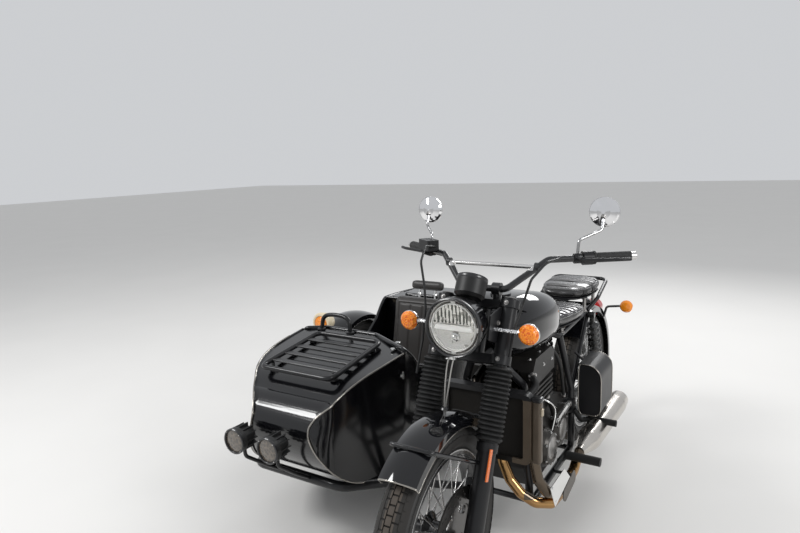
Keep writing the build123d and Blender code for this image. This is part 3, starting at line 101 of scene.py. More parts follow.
class Finish:
    """One procedural material: base numbers on the shader, and zones, colour drift and grain through nodes.

    slot is the record's material slot of the pieces that have this finish, unless they name another.
    """

    def __init__(self, name, color, rough, metal=0.0, coat=0.0, sheen=0.0, glass=0.0, shine=0.5, slot=None):
        self.mat = bpy.data.materials.new(name)
        self.mat.use_nodes = True
        self.tree = self.mat.node_tree
        self.shader = self.tree.nodes["Principled BSDF"]
        self.slot = slot or name
        self.base = ((*color, 1), rough, metal)
        for socket, value in zip(ZONED, self.base):
            self.put(socket, value)
        self.put("Coat Weight", coat)
        self.put("Coat Roughness", COAT_ROUGH)
        self.put("Sheen Weight", sheen)
        self.put("Specular IOR Level", shine)
        self.put("Transmission Weight", glass)
        self.spot = self.node("ShaderNodeTexCoord").outputs["Object"]
        self.x, self.y, self.z = self.node("ShaderNodeSeparateXYZ", self.spot).outputs

    def feed(self, socket, value):
        """Link an output into the socket, or set the socket's own value."""
        if isinstance(value, bpy.types.NodeSocket):
            self.tree.links.new(value, socket)
        elif value is not None:
            socket.default_value = value

    def put(self, name, value):
        self.feed(self.shader.inputs[name], value)

    def node(self, kind, *values, **settings):
        made = self.tree.nodes.new(kind)
        for key, value in settings.items():
            setattr(made, key, value)
        for socket, value in zip(made.inputs, values):
            self.feed(socket, value)
        return made

    def math(self, operation, a, b=0.0):
        return self.node("ShaderNodeMath", a, b, operation=operation).outputs[0]

    def mix(self, factor, a, b):
        """From a to b as the factor goes from 0 to 1: two numbers, or colours where b is a tuple."""
        if isinstance(b, tuple):
            return self.node("ShaderNodeMix", factor, *[None] * 5, a, b, data_type="RGBA").outputs[2]
        return self.node("ShaderNodeMix", factor, None, a, b).outputs[0]

    def above(self, value, limit):
        return self.math("GREATER_THAN", value, limit)

    def below(self, value, limit):
        return self.math("LESS_THAN", value, limit)

    def both(self, a, b):
        return self.math("MULTIPLY", a, b)

    def between(self, value, low, high):
        return self.both(self.above(value, low), self.below(value, high))

    def wave(self, value, rate):
        return self.math("SINE", self.math("MULTIPLY", value, rate))

    def aside(self, middle=MIDDLE):
        """Distance to either side of a middle plane."""
        return self.math("ABSOLUTE", self.math("SUBTRACT", self.x, middle))

    def radius(self, y, z):
        """Distance from an axle."""
        across = self.math("POWER", self.math("SUBTRACT", self.y, y), 2.0)
        upward = self.math("POWER", self.math("SUBTRACT", self.z, z), 2.0)
        return self.math("SQRT", self.math("ADD", across, upward))

    def distance(self, place):
        offset = self.node("ShaderNodeVectorMath", self.spot, tuple(place), operation="SUBTRACT").outputs[0]
        return self.node("ShaderNodeVectorMath", offset, operation="LENGTH").outputs["Value"]

    def noise(self, scale, detail=3.0):
        return self.node("ShaderNodeTexNoise", self.spot, None, scale, detail).outputs[0]

    def cells(self, scale, **settings):
        return self.node("ShaderNodeTexVoronoi", self.spot, None, scale, **settings).outputs["Distance"]

    def zones(self, *rows):
        """Each row is a mask with the colour, roughness and metal that hold inside it."""
        values = self.base
        for mask, color, rough, metal in rows:
            inside = ((*color, 1), rough, metal)
            values = [was if was == now else self.mix(mask, was, now) for was, now in zip(values, inside)]
        for socket, value in zip(ZONED, values):
            self.put(socket, value)
        return self

    def held(self, name):
        """What a socket of the shader has: the output linked to it, or its own value."""
        socket = self.shader.inputs[name]
        return socket.links[0].from_socket if socket.links else socket.default_value

    def drift(self, amount=0.2, scale=9.0, rough=0.12):
        """Slow changes of colour and gloss, as wear, dust and handling leave."""
        cloud = self.noise(scale, 5.0)
        color = self.held("Base Color")
        if not isinstance(color, bpy.types.NodeSocket):
            color = color[:3]
        shade = self.mix(cloud, 1.0 - amount, 1.0 + amount)
        scaled = self.node("ShaderNodeVectorMath", color, None, None, shade, operation="SCALE")
        self.put("Base Color", scaled.outputs[0])
        gloss = self.mix(cloud, 1.0 - rough, 1.0 + rough)
        self.put("Roughness", self.math("MULTIPLY", self.held("Roughness"), gloss))
        return self

    def bump(self, height, strength=0.2, distance=0.001):
        """A bump that adds to those already there."""
        made = self.node("ShaderNodeBump")
        for socket, value in (("Strength", strength), ("Distance", distance), ("Height", height)):
            self.feed(made.inputs[socket], value)
        if self.shader.inputs["Normal"].links:
            self.feed(made.inputs["Normal"], self.held("Normal"))
        self.put("Normal", made.outputs[0])
        return self

    def grain(self, scale, strength=0.15):
        return self.bump(self.noise(scale, 4.0), strength, 0.0004)

    def hide(self, scale=520.0, strength=0.35):
        """Leather grain: small cells with soft creases."""
        return self.bump(self.cells(scale, feature="SMOOTH_F1"), strength, 0.0008)


def paint(obj, finish):
    obj.data.materials.clear()
    obj.data.materials.append(finish.mat)


BLACK = (0.010, 0.010, 0.011)
STEEL = (0.62, 0.61, 0.60)
CHROME = (0.80, 0.80, 0.81)
AMBER = (0.90, 0.27, 0.010)
RED = (0.42, 0.008, 0.008)
GLOSS = (0.0035, 0.0036, 0.0045)
MARKER = bike(-1184, 149, 624)
TAIL = bike(-1087, 684, 530)
MIRROR = (329, -188, 1257)

black_frame = Finish("black_frame", BLACK, 0.30, coat=0.2, shine=0.3).drift().grain(500, 0.10)
satin_black = Finish("satin_black", (0.009, 0.009, 0.010), 0.36, shine=0.35).drift().grain(700, 0.10)
gloss_black = Finish("gloss_black", GLOSS, 0.10, coat=1.0, shine=0.1).drift(0.3, 5.0, 0.25).grain(140, 0.02)
leather = Finish("saddle_leather", (0.014, 0.013, 0.013), 0.26, coat=0.6, sheen=0.05).drift(0.3, 12.0).hide()
car_leather = Finish("seat_leather", (0.024, 0.021, 0.019), 0.42, sheen=0.15).drift(0.3, 12.0).hide()
black_rubber = Finish("black_rubber", (0.010, 0.010, 0.010), 0.55, shine=0.3).drift(0.3, 20.0)
black_rubber.grain(1500, 0.3)
PLAIN = {made.slot: made for made in (
    black_frame, satin_black, gloss_black, leather, car_leather, black_rubber,
    Finish("black_engine", (0.012, 0.011, 0.010), 0.44, shine=0.35).drift(0.35, 14.0).grain(900, 0.35),
    Finish("engine_alloy", (0.040, 0.037, 0.033), 0.34, metal=0.6).drift(0.3, 16.0).grain(800, 0.2),
    Finish("black_plastic", (0.010, 0.010, 0.010), 0.45, shine=0.35).drift().grain(1200, 0.25),
    Finish("shock_black", (0.012, 0.012, 0.012), 0.26, coat=0.4).drift().grain(500, 0.1),
)}

core = Finish("radiator_fins", (0.014, 0.012, 0.010), 0.6, shine=0.2).drift(0.3, 20.0)
core.bump(core.both(core.wave(core.x, 2400.0), core.wave(core.z, 620.0)), 0.8, 0.003)

# Brown at its outer side, and black above the core.
shroud = Finish("radiator_shroud", (0.008, 0.007, 0.006), 0.4, shine=0.3)
shroud.zones(
    (shroud.above(shroud.x, MIDDLE + 0.1), (0.115, 0.090, 0.066), 0.3, 0.4),
    (shroud.above(shroud.z, 0.652), (0.014, 0.014, 0.015), 0.4, 0.0)).drift(0.3, 8.0).grain(700, 0.12)

# Gold where the heat has tinted it, darker on the second header, black near the engine and dull on the
# shield.
pipes = Finish("header_steel", (0.50, 0.30, 0.12), 0.24, metal=1.0).grain(260, 0.06)
outer = pipes.math("SUBTRACT", pipes.x, MIDDLE)
tint = pipes.mix(pipes.noise(14.0, 4.0), (0.52, 0.31, 0.12, 1), (0.30, 0.17, 0.08, 1))
for mask, tinted in (
        (pipes.both(pipes.above(outer, 0.128), pipes.above(pipes.z, 0.272)), (0.115, 0.092, 0.07, 1)),
        (pipes.above(pipes.z, 0.44), (0.016, 0.014, 0.012, 1)),
        (pipes.above(outer, 0.2305), (0.10, 0.085, 0.070, 1))):
    tint = pipes.mix(mask, tint, tinted)
pipes.put("Base Color", tint)

muffler = Finish("muffler_steel", (0.60, 0.57, 0.53), 0.24, metal=1.0).drift(0.15, 12.0, 0.2).grain(200, 0.05)

# Prisms in the lens, on a bright stalk.
signal = Finish("signal_amber", AMBER, 0.22, coat=0.35, slot="amber_lens")
prisms = signal.cells(190)
signal.bump(prisms, 0.6, 0.0025)
signal.zones((signal.above(prisms, 0.6), (0.72, 0.125, 0.005), 0.25, 0.0),
             (signal.below(signal.aside(), 0.1765), CHROME, 0.10, 1.0))

# The red lamp in the middle, black stalks and an amber lens at each end.
rear_lens = Finish("rear_lens", RED, 0.12, coat=0.8)
rear_lens.zones((rear_lens.between(rear_lens.aside(), 0.046, 0.1575), BLACK, 0.35, 0.0),
                (rear_lens.above(rear_lens.aside(), 0.1575), AMBER, 0.12, 0.0)).grain(420, 0.08)

lamps = Finish("sidecar_lamp_black", (0.012, 0.012, 0.012), 0.42, slot="black_plastic")
marker_near, tail_near = (lamps.below(lamps.distance(lamp), 0.075) for lamp in (MARKER, TAIL))
marker_rim = lamps.between(lamps.y, MARKER.y - 0.0105, MARKER.y + 0.0025)
lamps.zones((lamps.both(marker_near, marker_rim), (0.72, 0.66, 0.55), 0.3, 0.0),
            (lamps.both(tail_near, lamps.above(lamps.y, TAIL.y + 0.0065)), RED, 0.12, 0.0))
lamps.drift(0.2, 18.0).grain(900, 0.2)

# Bare steel on the brace and at the bar's ends.
bar = Finish("handlebar_black", BLACK, 0.28, coat=0.3)
bar.zones((bar.both(bar.below(bar.aside(), 0.1525), bar.above(bar.z, 1.0815)), STEEL, 0.22, 1.0),
          (bar.above(bar.aside(), 0.4105), STEEL, 0.2, 1.0)).drift().grain(600, 0.08)

grip = Finish("grip_rubber", (0.014, 0.014, 0.014), 0.6).drift(0.3, 20.0)
grip.bump(grip.wave(grip.x, 1500.0), 0.6, 0.0015)

# The chain's run is steel, below the guard's top edge.
chain = Finish("chain_and_guard", BLACK, 0.4)
run = chain.between(chain.x, MIDDLE - 0.0685, MIDDLE - 0.0575)
chain.zones((chain.both(run, chain.below(chain.z, 0.4335)), (0.28, 0.26, 0.23), 0.35, 0.9))
chain.drift().grain(600, 0.15)

mirrors = Finish("mirror_stems", (0.42, 0.42, 0.42), 0.16, metal=1.0)
near_left, near_right = (mirrors.below(mirrors.distance(bike(side * MIRROR[0], *MIRROR[1:])), 0.0525)
                         for side in (1, -1))
mirrors.zones((mirrors.math("MAXIMUM", near_left, near_right), CHROME, 0.06, 1.0))
mirrors.drift(0.05, 30.0, 0.2).grain(500, 0.03)

OWN = {"radiator": core, "radiator_shroud": shroud, "header_pipes": pipes, "muffler": muffler,
       "front_signals": signal, "rear_lamps": rear_lens, "sidecar_lamps": lamps, "handlebar": bar,
       "grips": grip, "chain_drive": chain, "mirrors": mirrors}

# A laced wheel is black, with steel spokes, a bright rim edge and, on the motorcycle's two, a disc at its
# side.
for prefix, (wheel_x, axle_y, tyre_r, _) in WHEELS.items():
    laced = Finish(f"{prefix}_laced", BLACK, 0.26, coat=0.4)
    out = laced.radius(axle_y / 1000, tyre_r / 1000)
    seat = (tyre_r - TYRE_TALL) / 1000
    rows = [(laced.between(out, 0.0535, seat - 0.0215), STEEL, 0.25, 1.0),
            (laced.between(out, seat + 0.0035, seat + 0.02), (0.5, 0.5, 0.5), 0.25, 0.9)]
    if prefix != "sidecar":
        disc = laced.both(laced.above(laced.aside(wheel_x / 1000), 0.0515), laced.below(out, 0.156))
        rows.append((disc, (0.11, 0.105, 0.10), 0.34, 0.9))
    OWN[f"{prefix}_wheel"] = laced.zones(*rows).drift(0.2, 14.0).grain(600, 0.08)

for part in frame["record"]["subparts"]:
    finish = OWN.get(part["node"]) or PLAIN.get(part["material_slot"])
    if finish:
        paint(NODES[part["node"]], finish)


# ---------------------------------------------------------------- making pieces
CREASE = radians(38)


def add(name, data):
    obj = bpy.data.objects.new(name, data)
    SCENE.collection.objects.link(obj)
    return obj


def dress(obj, finish, body="outfit", slot=None):
    paint(obj, finish)
    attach(obj, body)
    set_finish(obj, slot or finish.slot)
    return obj


def smooth(mesh):
    mesh.polygons.foreach_set("use_smooth", [True] * len(mesh.polygons))


@contextmanager
def editing(mesh):
    """The mesh as a bmesh, written back at the end."""
    made = bmesh.new()
    made.from_mesh(mesh)
    yield made
    made.to_mesh(mesh)
    made.free()


def mesh_from(name, verts, faces):
    mesh = bpy.data.meshes.new(name)
    mesh.from_pydata([tuple(v) for v in verts], [], faces)
    return mesh


def piece(name, verts, faces, finish, body="outfit", slot=None, rounded=True):
    mesh = mesh_from(name, verts, faces)
    mesh.validate()
    with editing(mesh) as made:
        bmesh.ops.recalc_face_normals(made, faces=made.faces)
    obj = add(name, mesh)
    if rounded:
        smooth(mesh)
        obj.modifiers.new("crease", "EDGE_SPLIT").split_angle = CREASE
    return dress(obj, finish, body, slot)


def aim(origin, direction):
    """A matrix that stands local Z along the direction, at the origin, both in metres."""
    turn = Vector(direction).normalized().to_track_quat("Z", "Y").to_matrix().to_4x4()
    return Matrix.Translation(origin) @ turn


def lathe_data(matrix, outline, steps=48):
    """Corners and faces of an outline of (radius, height), turned about the matrix's local Z."""
    verts = [matrix @ polar(radius, 2 * pi * step / steps, height) for radius, height in outline
             for step in range(steps)]
    faces = []
    for ring in range(len(outline) - 1):
        for step in range(steps):
            a, b = ring * steps + step, ring * steps + (step + 1) % steps
            faces.append((a, b, b + steps, a + steps))
    return verts, faces


def lathe(name, matrix, outline, finish, body="outfit", slot=None, steps=48):
    return piece(name, *lathe_data(matrix, outline, steps), finish, body, slot)


def joined(name, parts, finish, body="outfit", slot=None, rounded=True):
    """One mesh from many (corners, faces) pairs."""
    verts, faces = [], []
    for some_verts, some_faces in parts:
        start = len(verts)
        verts += some_verts
        faces += [tuple(start + i for i in face) for face in some_faces]
    return piece(name, verts, faces, finish, body, slot, rounded)


def box_data(matrix, size, taper=1.0):
    """A box centred on the matrix, its top drawn in by taper."""
    sx, sy, sz = (v / 2000 for v in size)
    low = [(-sx, -sy, -sz), (sx, -sy, -sz), (sx, sy, -sz), (-sx, sy, -sz)]
    high = [(x * taper, y * taper, sz) for x, y, _ in low]
    verts = [matrix @ Vector(v) for v in low + high]
    return verts, [(3, 2, 1, 0), (4, 5, 6, 7), (0, 1, 5, 4), (1, 2, 6, 5), (2, 3, 7, 6), (3, 0, 4, 7)]


def bolt_data(origin, direction, radius=5.0, high=4.0):
    """A domed hexagon bolt head on a washer."""
    matrix = aim(origin, direction)
    washer = lathe_data(matrix, [(0, 0), (radius * 1.5, 0), (radius * 1.5, 1.2), (0, 1.2)], 16)
    head = lathe_data(matrix, [(radius, 1.2), (radius, high), (radius * 0.7, high + 1), (0, high + 1)], 6)
    return [washer, head]


def cable(name, points, radius, finish, body="outfit", slot=None, cyclic=False, sides=3):
    """A tube of the radius along points given in metres."""
    data = bpy.data.curves.new(name, "CURVE")
    data.dimensions = "3D"
    data.bevel_depth = radius / 1000
    data.bevel_resolution = sides
    data.resolution_u = 6
    data.use_fill_caps = True
    line = data.splines.new("NURBS")
    line.points.add(len(points) - 1)
    for corner, spot in zip(line.points, points):
        corner.co = (*spot, 1)
    line.order_u = 3
    line.use_endpoint_u = not cyclic
    line.use_cyclic_u = cyclic
    return dress(add(name, data), finish, body, slot)


# ---------------------------------------------------------------- tyres
SHOULDER_DROP = 18
WIDEST_DROP = 46
BEAD_HALF = 29.5
TREAD_DEEP = 6.0
TREAD_SUNK = 7.5
# Columns: where each row of blocks starts and stops, as shares of the way from the crown's middle to the
# shoulder, and how far round its blocks are moved, as a share of the pitch.
TREAD_ROWS = ((0.0, 0.19, 0.0), (0.27, 0.62, 0.5), (0.70, 1.34, 0.15))
BLOCK_PITCH = 27.0
BLOCK_SHARE = 0.84
# A block's layers: how far out each one is, and half its length as a share of the block's.
BLOCK_LAYERS = ((-TREAD_SUNK, 0.56), (-1.2, 0.5), (0.0, 0.455))
BLOCK_SLANT = 0.10
WALL_LINES = (36, 60)


def arc3(first, middle, last, steps):
    """Points on the arc from the first corner through the middle one to the last."""
    (ax, ay), (mx, my), (bx, by) = first, middle, last
    spread = 2 * (ax * (my - by) + mx * (by - ay) + bx * (ay - my))
    a2, m2, b2 = ax * ax + ay * ay, mx * mx + my * my, bx * bx + by * by
    cx = (a2 * (my - by) + m2 * (by - ay) + b2 * (ay - my)) / spread
    cy = (a2 * (bx - mx) + m2 * (ax - bx) + b2 * (mx - ax)) / spread
    reach = hypot(ax - cx, ay - cy)
    start = previous = atan2(ay - cy, ax - cx)
    sweep = 0.0
    for px, py in (middle, last):
        turn = (atan2(py - cy, px - cx) - previous + pi) % (2 * pi) - pi
        sweep += turn
        previous += turn
    return [(cx + reach * cos(start + sweep * i / steps), cy + reach * sin(start + sweep * i / steps))
            for i in range(steps + 1)]


def along(curve, distance):
    """The point at a distance along a polyline, and the direction out of it."""
    for (ax, ay), (bx, by) in zip(curve, curve[1:]):
        span = hypot(bx - ax, by - ay)
        if distance <= span:
            share = distance / span
            return (ax + (bx - ax) * share, ay + (by - ay) * share), ((by - ay) / span, (bx - ax) / span)
        distance -= span
    return curve[-1], (1.0, 0.0)


def tyre(prefix):
    x, axle_y, radius, width = WHEELS[prefix]
    half = width / 2
    edge = half - 10
    seat = radius - TYRE_TALL
    shoulder = (edge, radius - SHOULDER_DROP)
    crown = arc3((-edge, radius - SHOULDER_DROP), (0, radius), shoulder, 24)[12:]
    curve = crown + arc3(shoulder, (half, radius - WIDEST_DROP), (BEAD_HALF, seat + 11), 14)[1:]
    crown_length = sum(hypot(b[0] - a[0], b[1] - a[1]) for a, b in zip(crown, crown[1:]))

    # Dark in the grooves, dusty on the blocks.
    rubber = Finish(f"{prefix}_tyre_rubber", (0.020, 0.019, 0.018), 0.62, slot="tyre")
    out = rubber.radius(axle_y / 1000, radius / 1000)
    dusty = (radius - TREAD_DEEP + 2.5) / 1000
    rubber.zones((rubber.between(out, (radius - 24) / 1000, dusty), (0.020, 0.018, 0.016), 0.8, 0.0),
                 (rubber.above(out, dusty), (0.070, 0.058, 0.047), 0.85, 0.0))
    rubber.drift(0.35, 26.0).grain(1400, 0.35)

    def spin(u, r, angle):
        return mm(x + u, axle_y - r * sin(angle), radius + r * cos(angle))

    # The carcass: sunk under the blocks, with two raised lines on its wall.
    half_line = []
    gone = 0.0
    for index, (u, r) in enumerate(curve):
        if index:
            gone += hypot(u - curve[index - 1][0], r - curve[index - 1][1])
        deep = TREAD_DEEP * min(1.0, max(0.0, (1.5 - gone / crown_length) / 0.25))
        nu, nr = along(curve, gone)[1]
        u, r = u - nu * deep, r - nr * deep
        if u > edge and any(abs(r - (radius - drop)) < 2.6 for drop in WALL_LINES):
            u += 1.2
        half_line.append((u, r))
    section = [(-u, r) for u, r in reversed(half_line[1:])] + half_line
    section = [(-BEAD_HALF, seat)] + section + [(BEAD_HALF, seat)]
    steps = 120
    verts = [spin(u, r, 2 * pi * step / steps) for u, r in section for step in range(steps)]
    count = len(section)
    faces = []
    for ring in range(count):
        for step in range(steps):
            a, b = ring * steps + step, ring * steps + (step + 1) % steps
            c, d = ((ring + 1) % count) * steps + (step + 1) % steps, ((ring + 1) % count) * steps + step
            faces.append((a, b, c, d))
    parts = [(verts, faces)]

    pitches = round(2 * pi * radius / BLOCK_PITCH)
    wide = 2 * pi / pitches * BLOCK_SHARE
    for start, stop, moved in TREAD_ROWS:
        cuts = 4 if stop > 1 else 2
        for sign in ((-1, 1) if start else (0,)):
            for block in range(pitches):
                turn = 2 * pi * (block + moved * (sign or 1)) / pitches
                verts, faces = [], []
                for i in range(cuts + 1):
                    share = start + (stop - start) * i / cuts if sign else stop * (2 * i / cuts - 1)
                    (u, r), (nu, nr) = along(curve, abs(share) * crown_length)
                    flip = sign or (1 if share >= 0 else -1)
                    slant = turn + BLOCK_SLANT * wide * abs(share) * sign
                    for lift, grow in BLOCK_LAYERS:
                        for way in (-1, 1):
                            verts.append(spin(flip * (u + nu * lift), r + nr * lift,
                                              slant + way * grow * wide))
                for a in range(0, cuts * 6, 6):
                    b = a + 6
                    faces += [(a + 4, a + 5, b + 5, b + 4), (a, a + 2, b + 2, b),
                              (a + 2, a + 4, b + 4, b + 2), (a + 1, b + 1, b + 3, a + 3),
                              (a + 3, b + 3, b + 5, a + 5)]
                for a in (0, cuts * 6):
                    faces += [(a, a + 1, a + 3, a + 2), (a + 2, a + 3, a + 5, a + 4)]
                parts.append((verts, faces))
    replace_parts(joined(f"{prefix}_tyre_tread", parts, rubber, f"{prefix}_wheel"), f"{prefix}_tyre")


for prefix in WHEELS:
    tyre(prefix)


# ---------------------------------------------------------------- lamps
pale = Finish("lamp_white", (0.95, 0.94, 0.92), 0.3, slot="lamp_glass").grain(400, 0.05)
trim_black = Finish("trim_black", (0.012, 0.012, 0.013), 0.3, coat=0.3, slot="black_plastic")
trim_black.drift().grain(700, 0.12)
bright = Finish("bright_steel", (0.72, 0.72, 0.71), 0.16, metal=1.0, slot="chrome")
bright.drift(0.1, 30.0, 0.3).grain(500, 0.04)
dull = Finish("dull_steel", (0.34, 0.33, 0.32), 0.34, metal=0.9, slot="chrome")
dull.drift(0.2, 40.0, 0.2).grain(600, 0.15)

# The reflector has small facets, dark blotches painted as reflections of dark things, upright dark flutes in
# its upper half and a dark edge.
reflector = Finish("lamp_reflector", (0.74, 0.73, 0.70), 0.22, metal=0.75, slot="chrome")
reflector.bump(reflector.cells(150), 0.25, 0.002)
upper_half = reflector.above(reflector.z, 0.952)
flutes = reflector.above(reflector.wave(reflector.x, 520.0), reflector.mix(reflector.noise(45.0), -2.2, 2.6))
reflector.zones(
    # Painted reflection: dark blotches where the reflector would mirror dark surroundings.
    (reflector.below(reflector.noise(30.0, 2.0), 0.42), (0.34, 0.33, 0.31), 0.3, 0.75),
    (reflector.both(upper_half, flutes), (0.10, 0.105, 0.095), 0.3, 0.6),
    (reflector.above(reflector.distance(bike(0, -656, 943)), 0.0755), (0.20, 0.185, 0.175), 0.3, 0.9))

# The glass is ribbed above the lamp's middle, and bends light little, so that the reflector shows through it.
clear = Finish("clear_glass", (0.97, 0.97, 0.96), 0.02, glass=1.0, slot="lamp_glass")
clear.put("IOR", 1.12)
clear.bump(clear.both(clear.wave(clear.x, 900.0), clear.above(clear.z, 0.965)), 0.35, 0.0012)

LAMP = aim(bike(0, -668, 943), (0, 1, 0))
dome = lathe("headlamp_glass", LAMP,
             [(0, -9), (45, -6), (72, -1), (86.6, 7), (86.6, 8.6), (71, 0.6), (44, -4.4), (0, -7.4)], clear,
             "steering", steps=64)
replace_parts(dome, "headlamp_lens")
lathe("headlamp_dish", LAMP, [(86.5, 9), (82, 10), (74, 14), (52, 19), (24, 22), (0, 23)], reflector,
      "steering", steps=64)
lathe("headlamp_rim", LAMP,
      [(93.3, 9.0), (94.6, 4), (93.5, -2.4), (90, -4.6), (86.8, -2), (85.4, 5), (86.8, 7.8), (90, 3),
       (92.8, 9.2)], trim_black, "steering", "satin_black", 72)
rings = [lathe_data(LAMP, [(71.5, 15), (71.5, 5), (72.5, 4), (74.5, 4), (75.5, 5), (75.5, 14)], 64),
         lathe_data(LAMP, [(81.6, 10.4), (82.2, 8.4), (84.6, 8.7), (85.3, 10)], 64)]
for turn in range(4):
    rings.append(box_data(LAMP @ Matrix.Rotation(turn * pi / 2, 4, "Z") @ shift(0, 78.6, 9), (15, 7, 5),
                          0.85))
joined("headlamp_rings", rings, pale, "steering")
joined("headlamp_bar", [box_data(Matrix.Translation(bike(0, -656, 941)), (134, 12, 14), 0.9)], pale,
       "steering", rounded=False)
lathe("headlamp_bulb", aim(bike(0, -646, 910), (0, -1, 0)),
      [(0, 0), (14, 0), (14, 5), (9, 7), (8, 13), (4, 16), (0, 17)], bright, "steering", steps=24)
tab = [box_data(Matrix.Translation(bike(0, -668, 849.5)), (22, 10, 8), 0.8)]
joined("headlamp_tab", tab + bolt_data(bike(0, -673, 849.5), (0, -1, 0), 3.2, 3), bright, "steering")

fog_glass = Finish("fog_glass", (0.05, 0.045, 0.04), 0.08, coat=1.0, slot="lamp_glass")
honeycomb = fog_glass.cells(90)
fog_glass.put("Base Color", fog_glass.mix(honeycomb, (0.02, 0.017, 0.014, 1), (0.15, 0.12, 0.09, 1)))
fog_glass.bump(honeycomb, 0.5, 0.002)
for side, tag in ((-1, "far"), (1, "near")):
    front = aim(car(side * 80, -849, 478), (0, -1, 0))
    lathe(f"fog_glass_{tag}", front,
          [(0, -1.0), (24, -1.4), (38, -2.4), (41.6, -3.4), (41.6, -3.95), (0, -3.95)], fog_glass, steps=40)
    lathe(f"fog_bezel_{tag}", front, [(40.5, -2.5), (41, 1.6), (43, 3.4), (46, 3.2), (48, 1), (48, -5),
                                      (47.05, -6)], trim_black, steps=40)
    screws = []
    for turn in range(4):
        screws += bolt_data(front @ polar(44.4, pi / 4 + turn * pi / 2, 3.2), (0, -1, 0), 1.6, 1.6)
    joined(f"fog_screws_{tag}", screws, dull)

# The turn signals' lens has a bright rim, and ribs on its face.
for side, tag in SIDES:
    ring_at = aim(bike(side * 207, -570, 923), (0, -1, 0))
    lathe(f"signal_rim_{tag}", ring_at, [(31.6, 3), (32.6, 2), (33, -1), (32.6, -4), (31.0, -5)], bright,
          "steering", steps=40)
    ribs = [lathe_data(ring_at,
                       [(radius - 1.2, high - 1.5), (radius, high + 0.5), (radius + 1.2, high - 2.0)], 36)
            for radius, high in ((8, 21.3), (15, 20.2), (22, 17.6))]
    joined(f"signal_ribs_{tag}", ribs, signal, "steering")


# ---------------------------------------------------------------- gauge, mirrors, bolts
TICKS = 25
DIAL_SWEEP = 270
DIAL = aim(bike(0, -530, 1046), (0, sin(radians(30)), cos(radians(30))))
dial_face = Finish("dial_face", (0.02, 0.02, 0.022), 0.5, slot="black_plastic").grain(900, 0.05)
lathe("gauge_face", DIAL, [(0, 27.2), (44, 27.6), (45.5, 27.2), (45.5, 24.5), (0, 24.4)], dial_face,
      "steering")
lathe("gauge_rim", DIAL,
      [(44.4, 27.4), (44.6, 30), (46.5, 31.4), (49, 30), (50.1, 26), (50.1, 18), (49.52, 17)], trim_black,
      "steering", "chrome", 64)
marks = []
for tick in range(TICKS):
    long = 4 if tick % 4 else 7
    turn = Matrix.Rotation(radians(-225 + tick * DIAL_SWEEP / (TICKS - 1)), 4, "Z")
    marks.append(box_data(DIAL @ turn @ shift(40 - long / 2, 0, 27.9), (long, 1.1, 0.6)))
marks.append(box_data(DIAL @ Matrix.Rotation(radians(215), 4, "Z") @ shift(14, 0, 28.9), (36, 1.6, 0.8)))
joined("gauge_marks", marks, pale, "steering", "black_plastic", rounded=False)
lathe("gauge_hub", DIAL, [(0, 30.2), (4, 30), (5, 28), (5, 27.3)], trim_black, "steering", steps=24)

mirror_glass = Finish("mirror_glass", (0.86, 0.88, 0.9), 0.015, metal=1.0, slot="chrome")
mirror_glass.drift(0.02, 30.0, 0.2).grain(200, 0.01)
for side, tag in SIDES:
    back = aim(bike(side * MIRROR[0], *MIRROR[1:]), (0, 1, 0))
    lathe(f"mirror_glass_{tag}", back, [(0, 6.4), (46.6, 8.3), (46.9, 8.1), (46.9, 6.2), (0, 6.1)],
          mirror_glass, "steering")
    lathe(f"mirror_ring_{tag}", back,
          [(46.8, 8.15), (47, 9.6), (48.6, 9.8), (49.8, 8.4), (50.1, 4), (50.05, 1.5)], bright, "steering",
          steps=64)
    lathe(f"mirror_nut_{tag}", aim(bike(side * 329, -203, 1243), (0, -0.72, -0.69)),
          [(5.1, -7), (8, -6), (8.6, 0), (8, 6), (5.1, 7)], dull, "steering", steps=6)

# Engine covers, each a plate in a ring of bolts. Columns: side, y, z, radius, depth.
COVERS = ((1, -222, 396, 72, 66), (1, 20, 366, 74, 34), (-1, -150, 380, 96, 58), (1, -110, 330, 56, 40),
          (-1, 40, 380, 60, 40))
COVER_FOOT = 104.1
for index, (side, cover_y, cover_z, cover_r, deep) in enumerate(COVERS):
    out = (side, 0, 0)
    lathe(f"cover_plate_{index}", aim(bike(side * (COVER_FOOT + deep), cover_y, cover_z), out),
          [(0, 2.6), (cover_r - 34, 2.6), (cover_r - 31, 1.4), (cover_r - 30, 0.1)], dull,
          slot="engine_alloy")
    rim = aim(bike(side * (COVER_FOOT + deep * 0.925), cover_y, cover_z), out)
    heads = []
    for turn in range(6):
        heads += bolt_data(rim @ polar(cover_r - 12, radians(30) + 2 * pi * turn / 6, 0), out, 4.2, 3.4)
    joined(f"cover_bolts_{index}", heads, bright, slot="engine_alloy")
heads = []
for side in (-1, 1):
    for bolt_y in (-288, -186, -84):
        heads += bolt_data(bike(side * 108, bolt_y, 744), (0, 0, 1), 5, 5)
    for x, places in ((126, ((-280, 688), (-190, 700), (-96, 694))),
                      (104, ((-280, 350), (-288, 470), (-60, 500), (94, 440), (128, 352), (-20, 262),
                             (-200, 262)))):
        for place in places:
            heads += bolt_data(bike(side * x, *place), (side, 0, 0), 4.6, 4)
joined("engine_bolts", heads, bright, slot="engine_alloy")

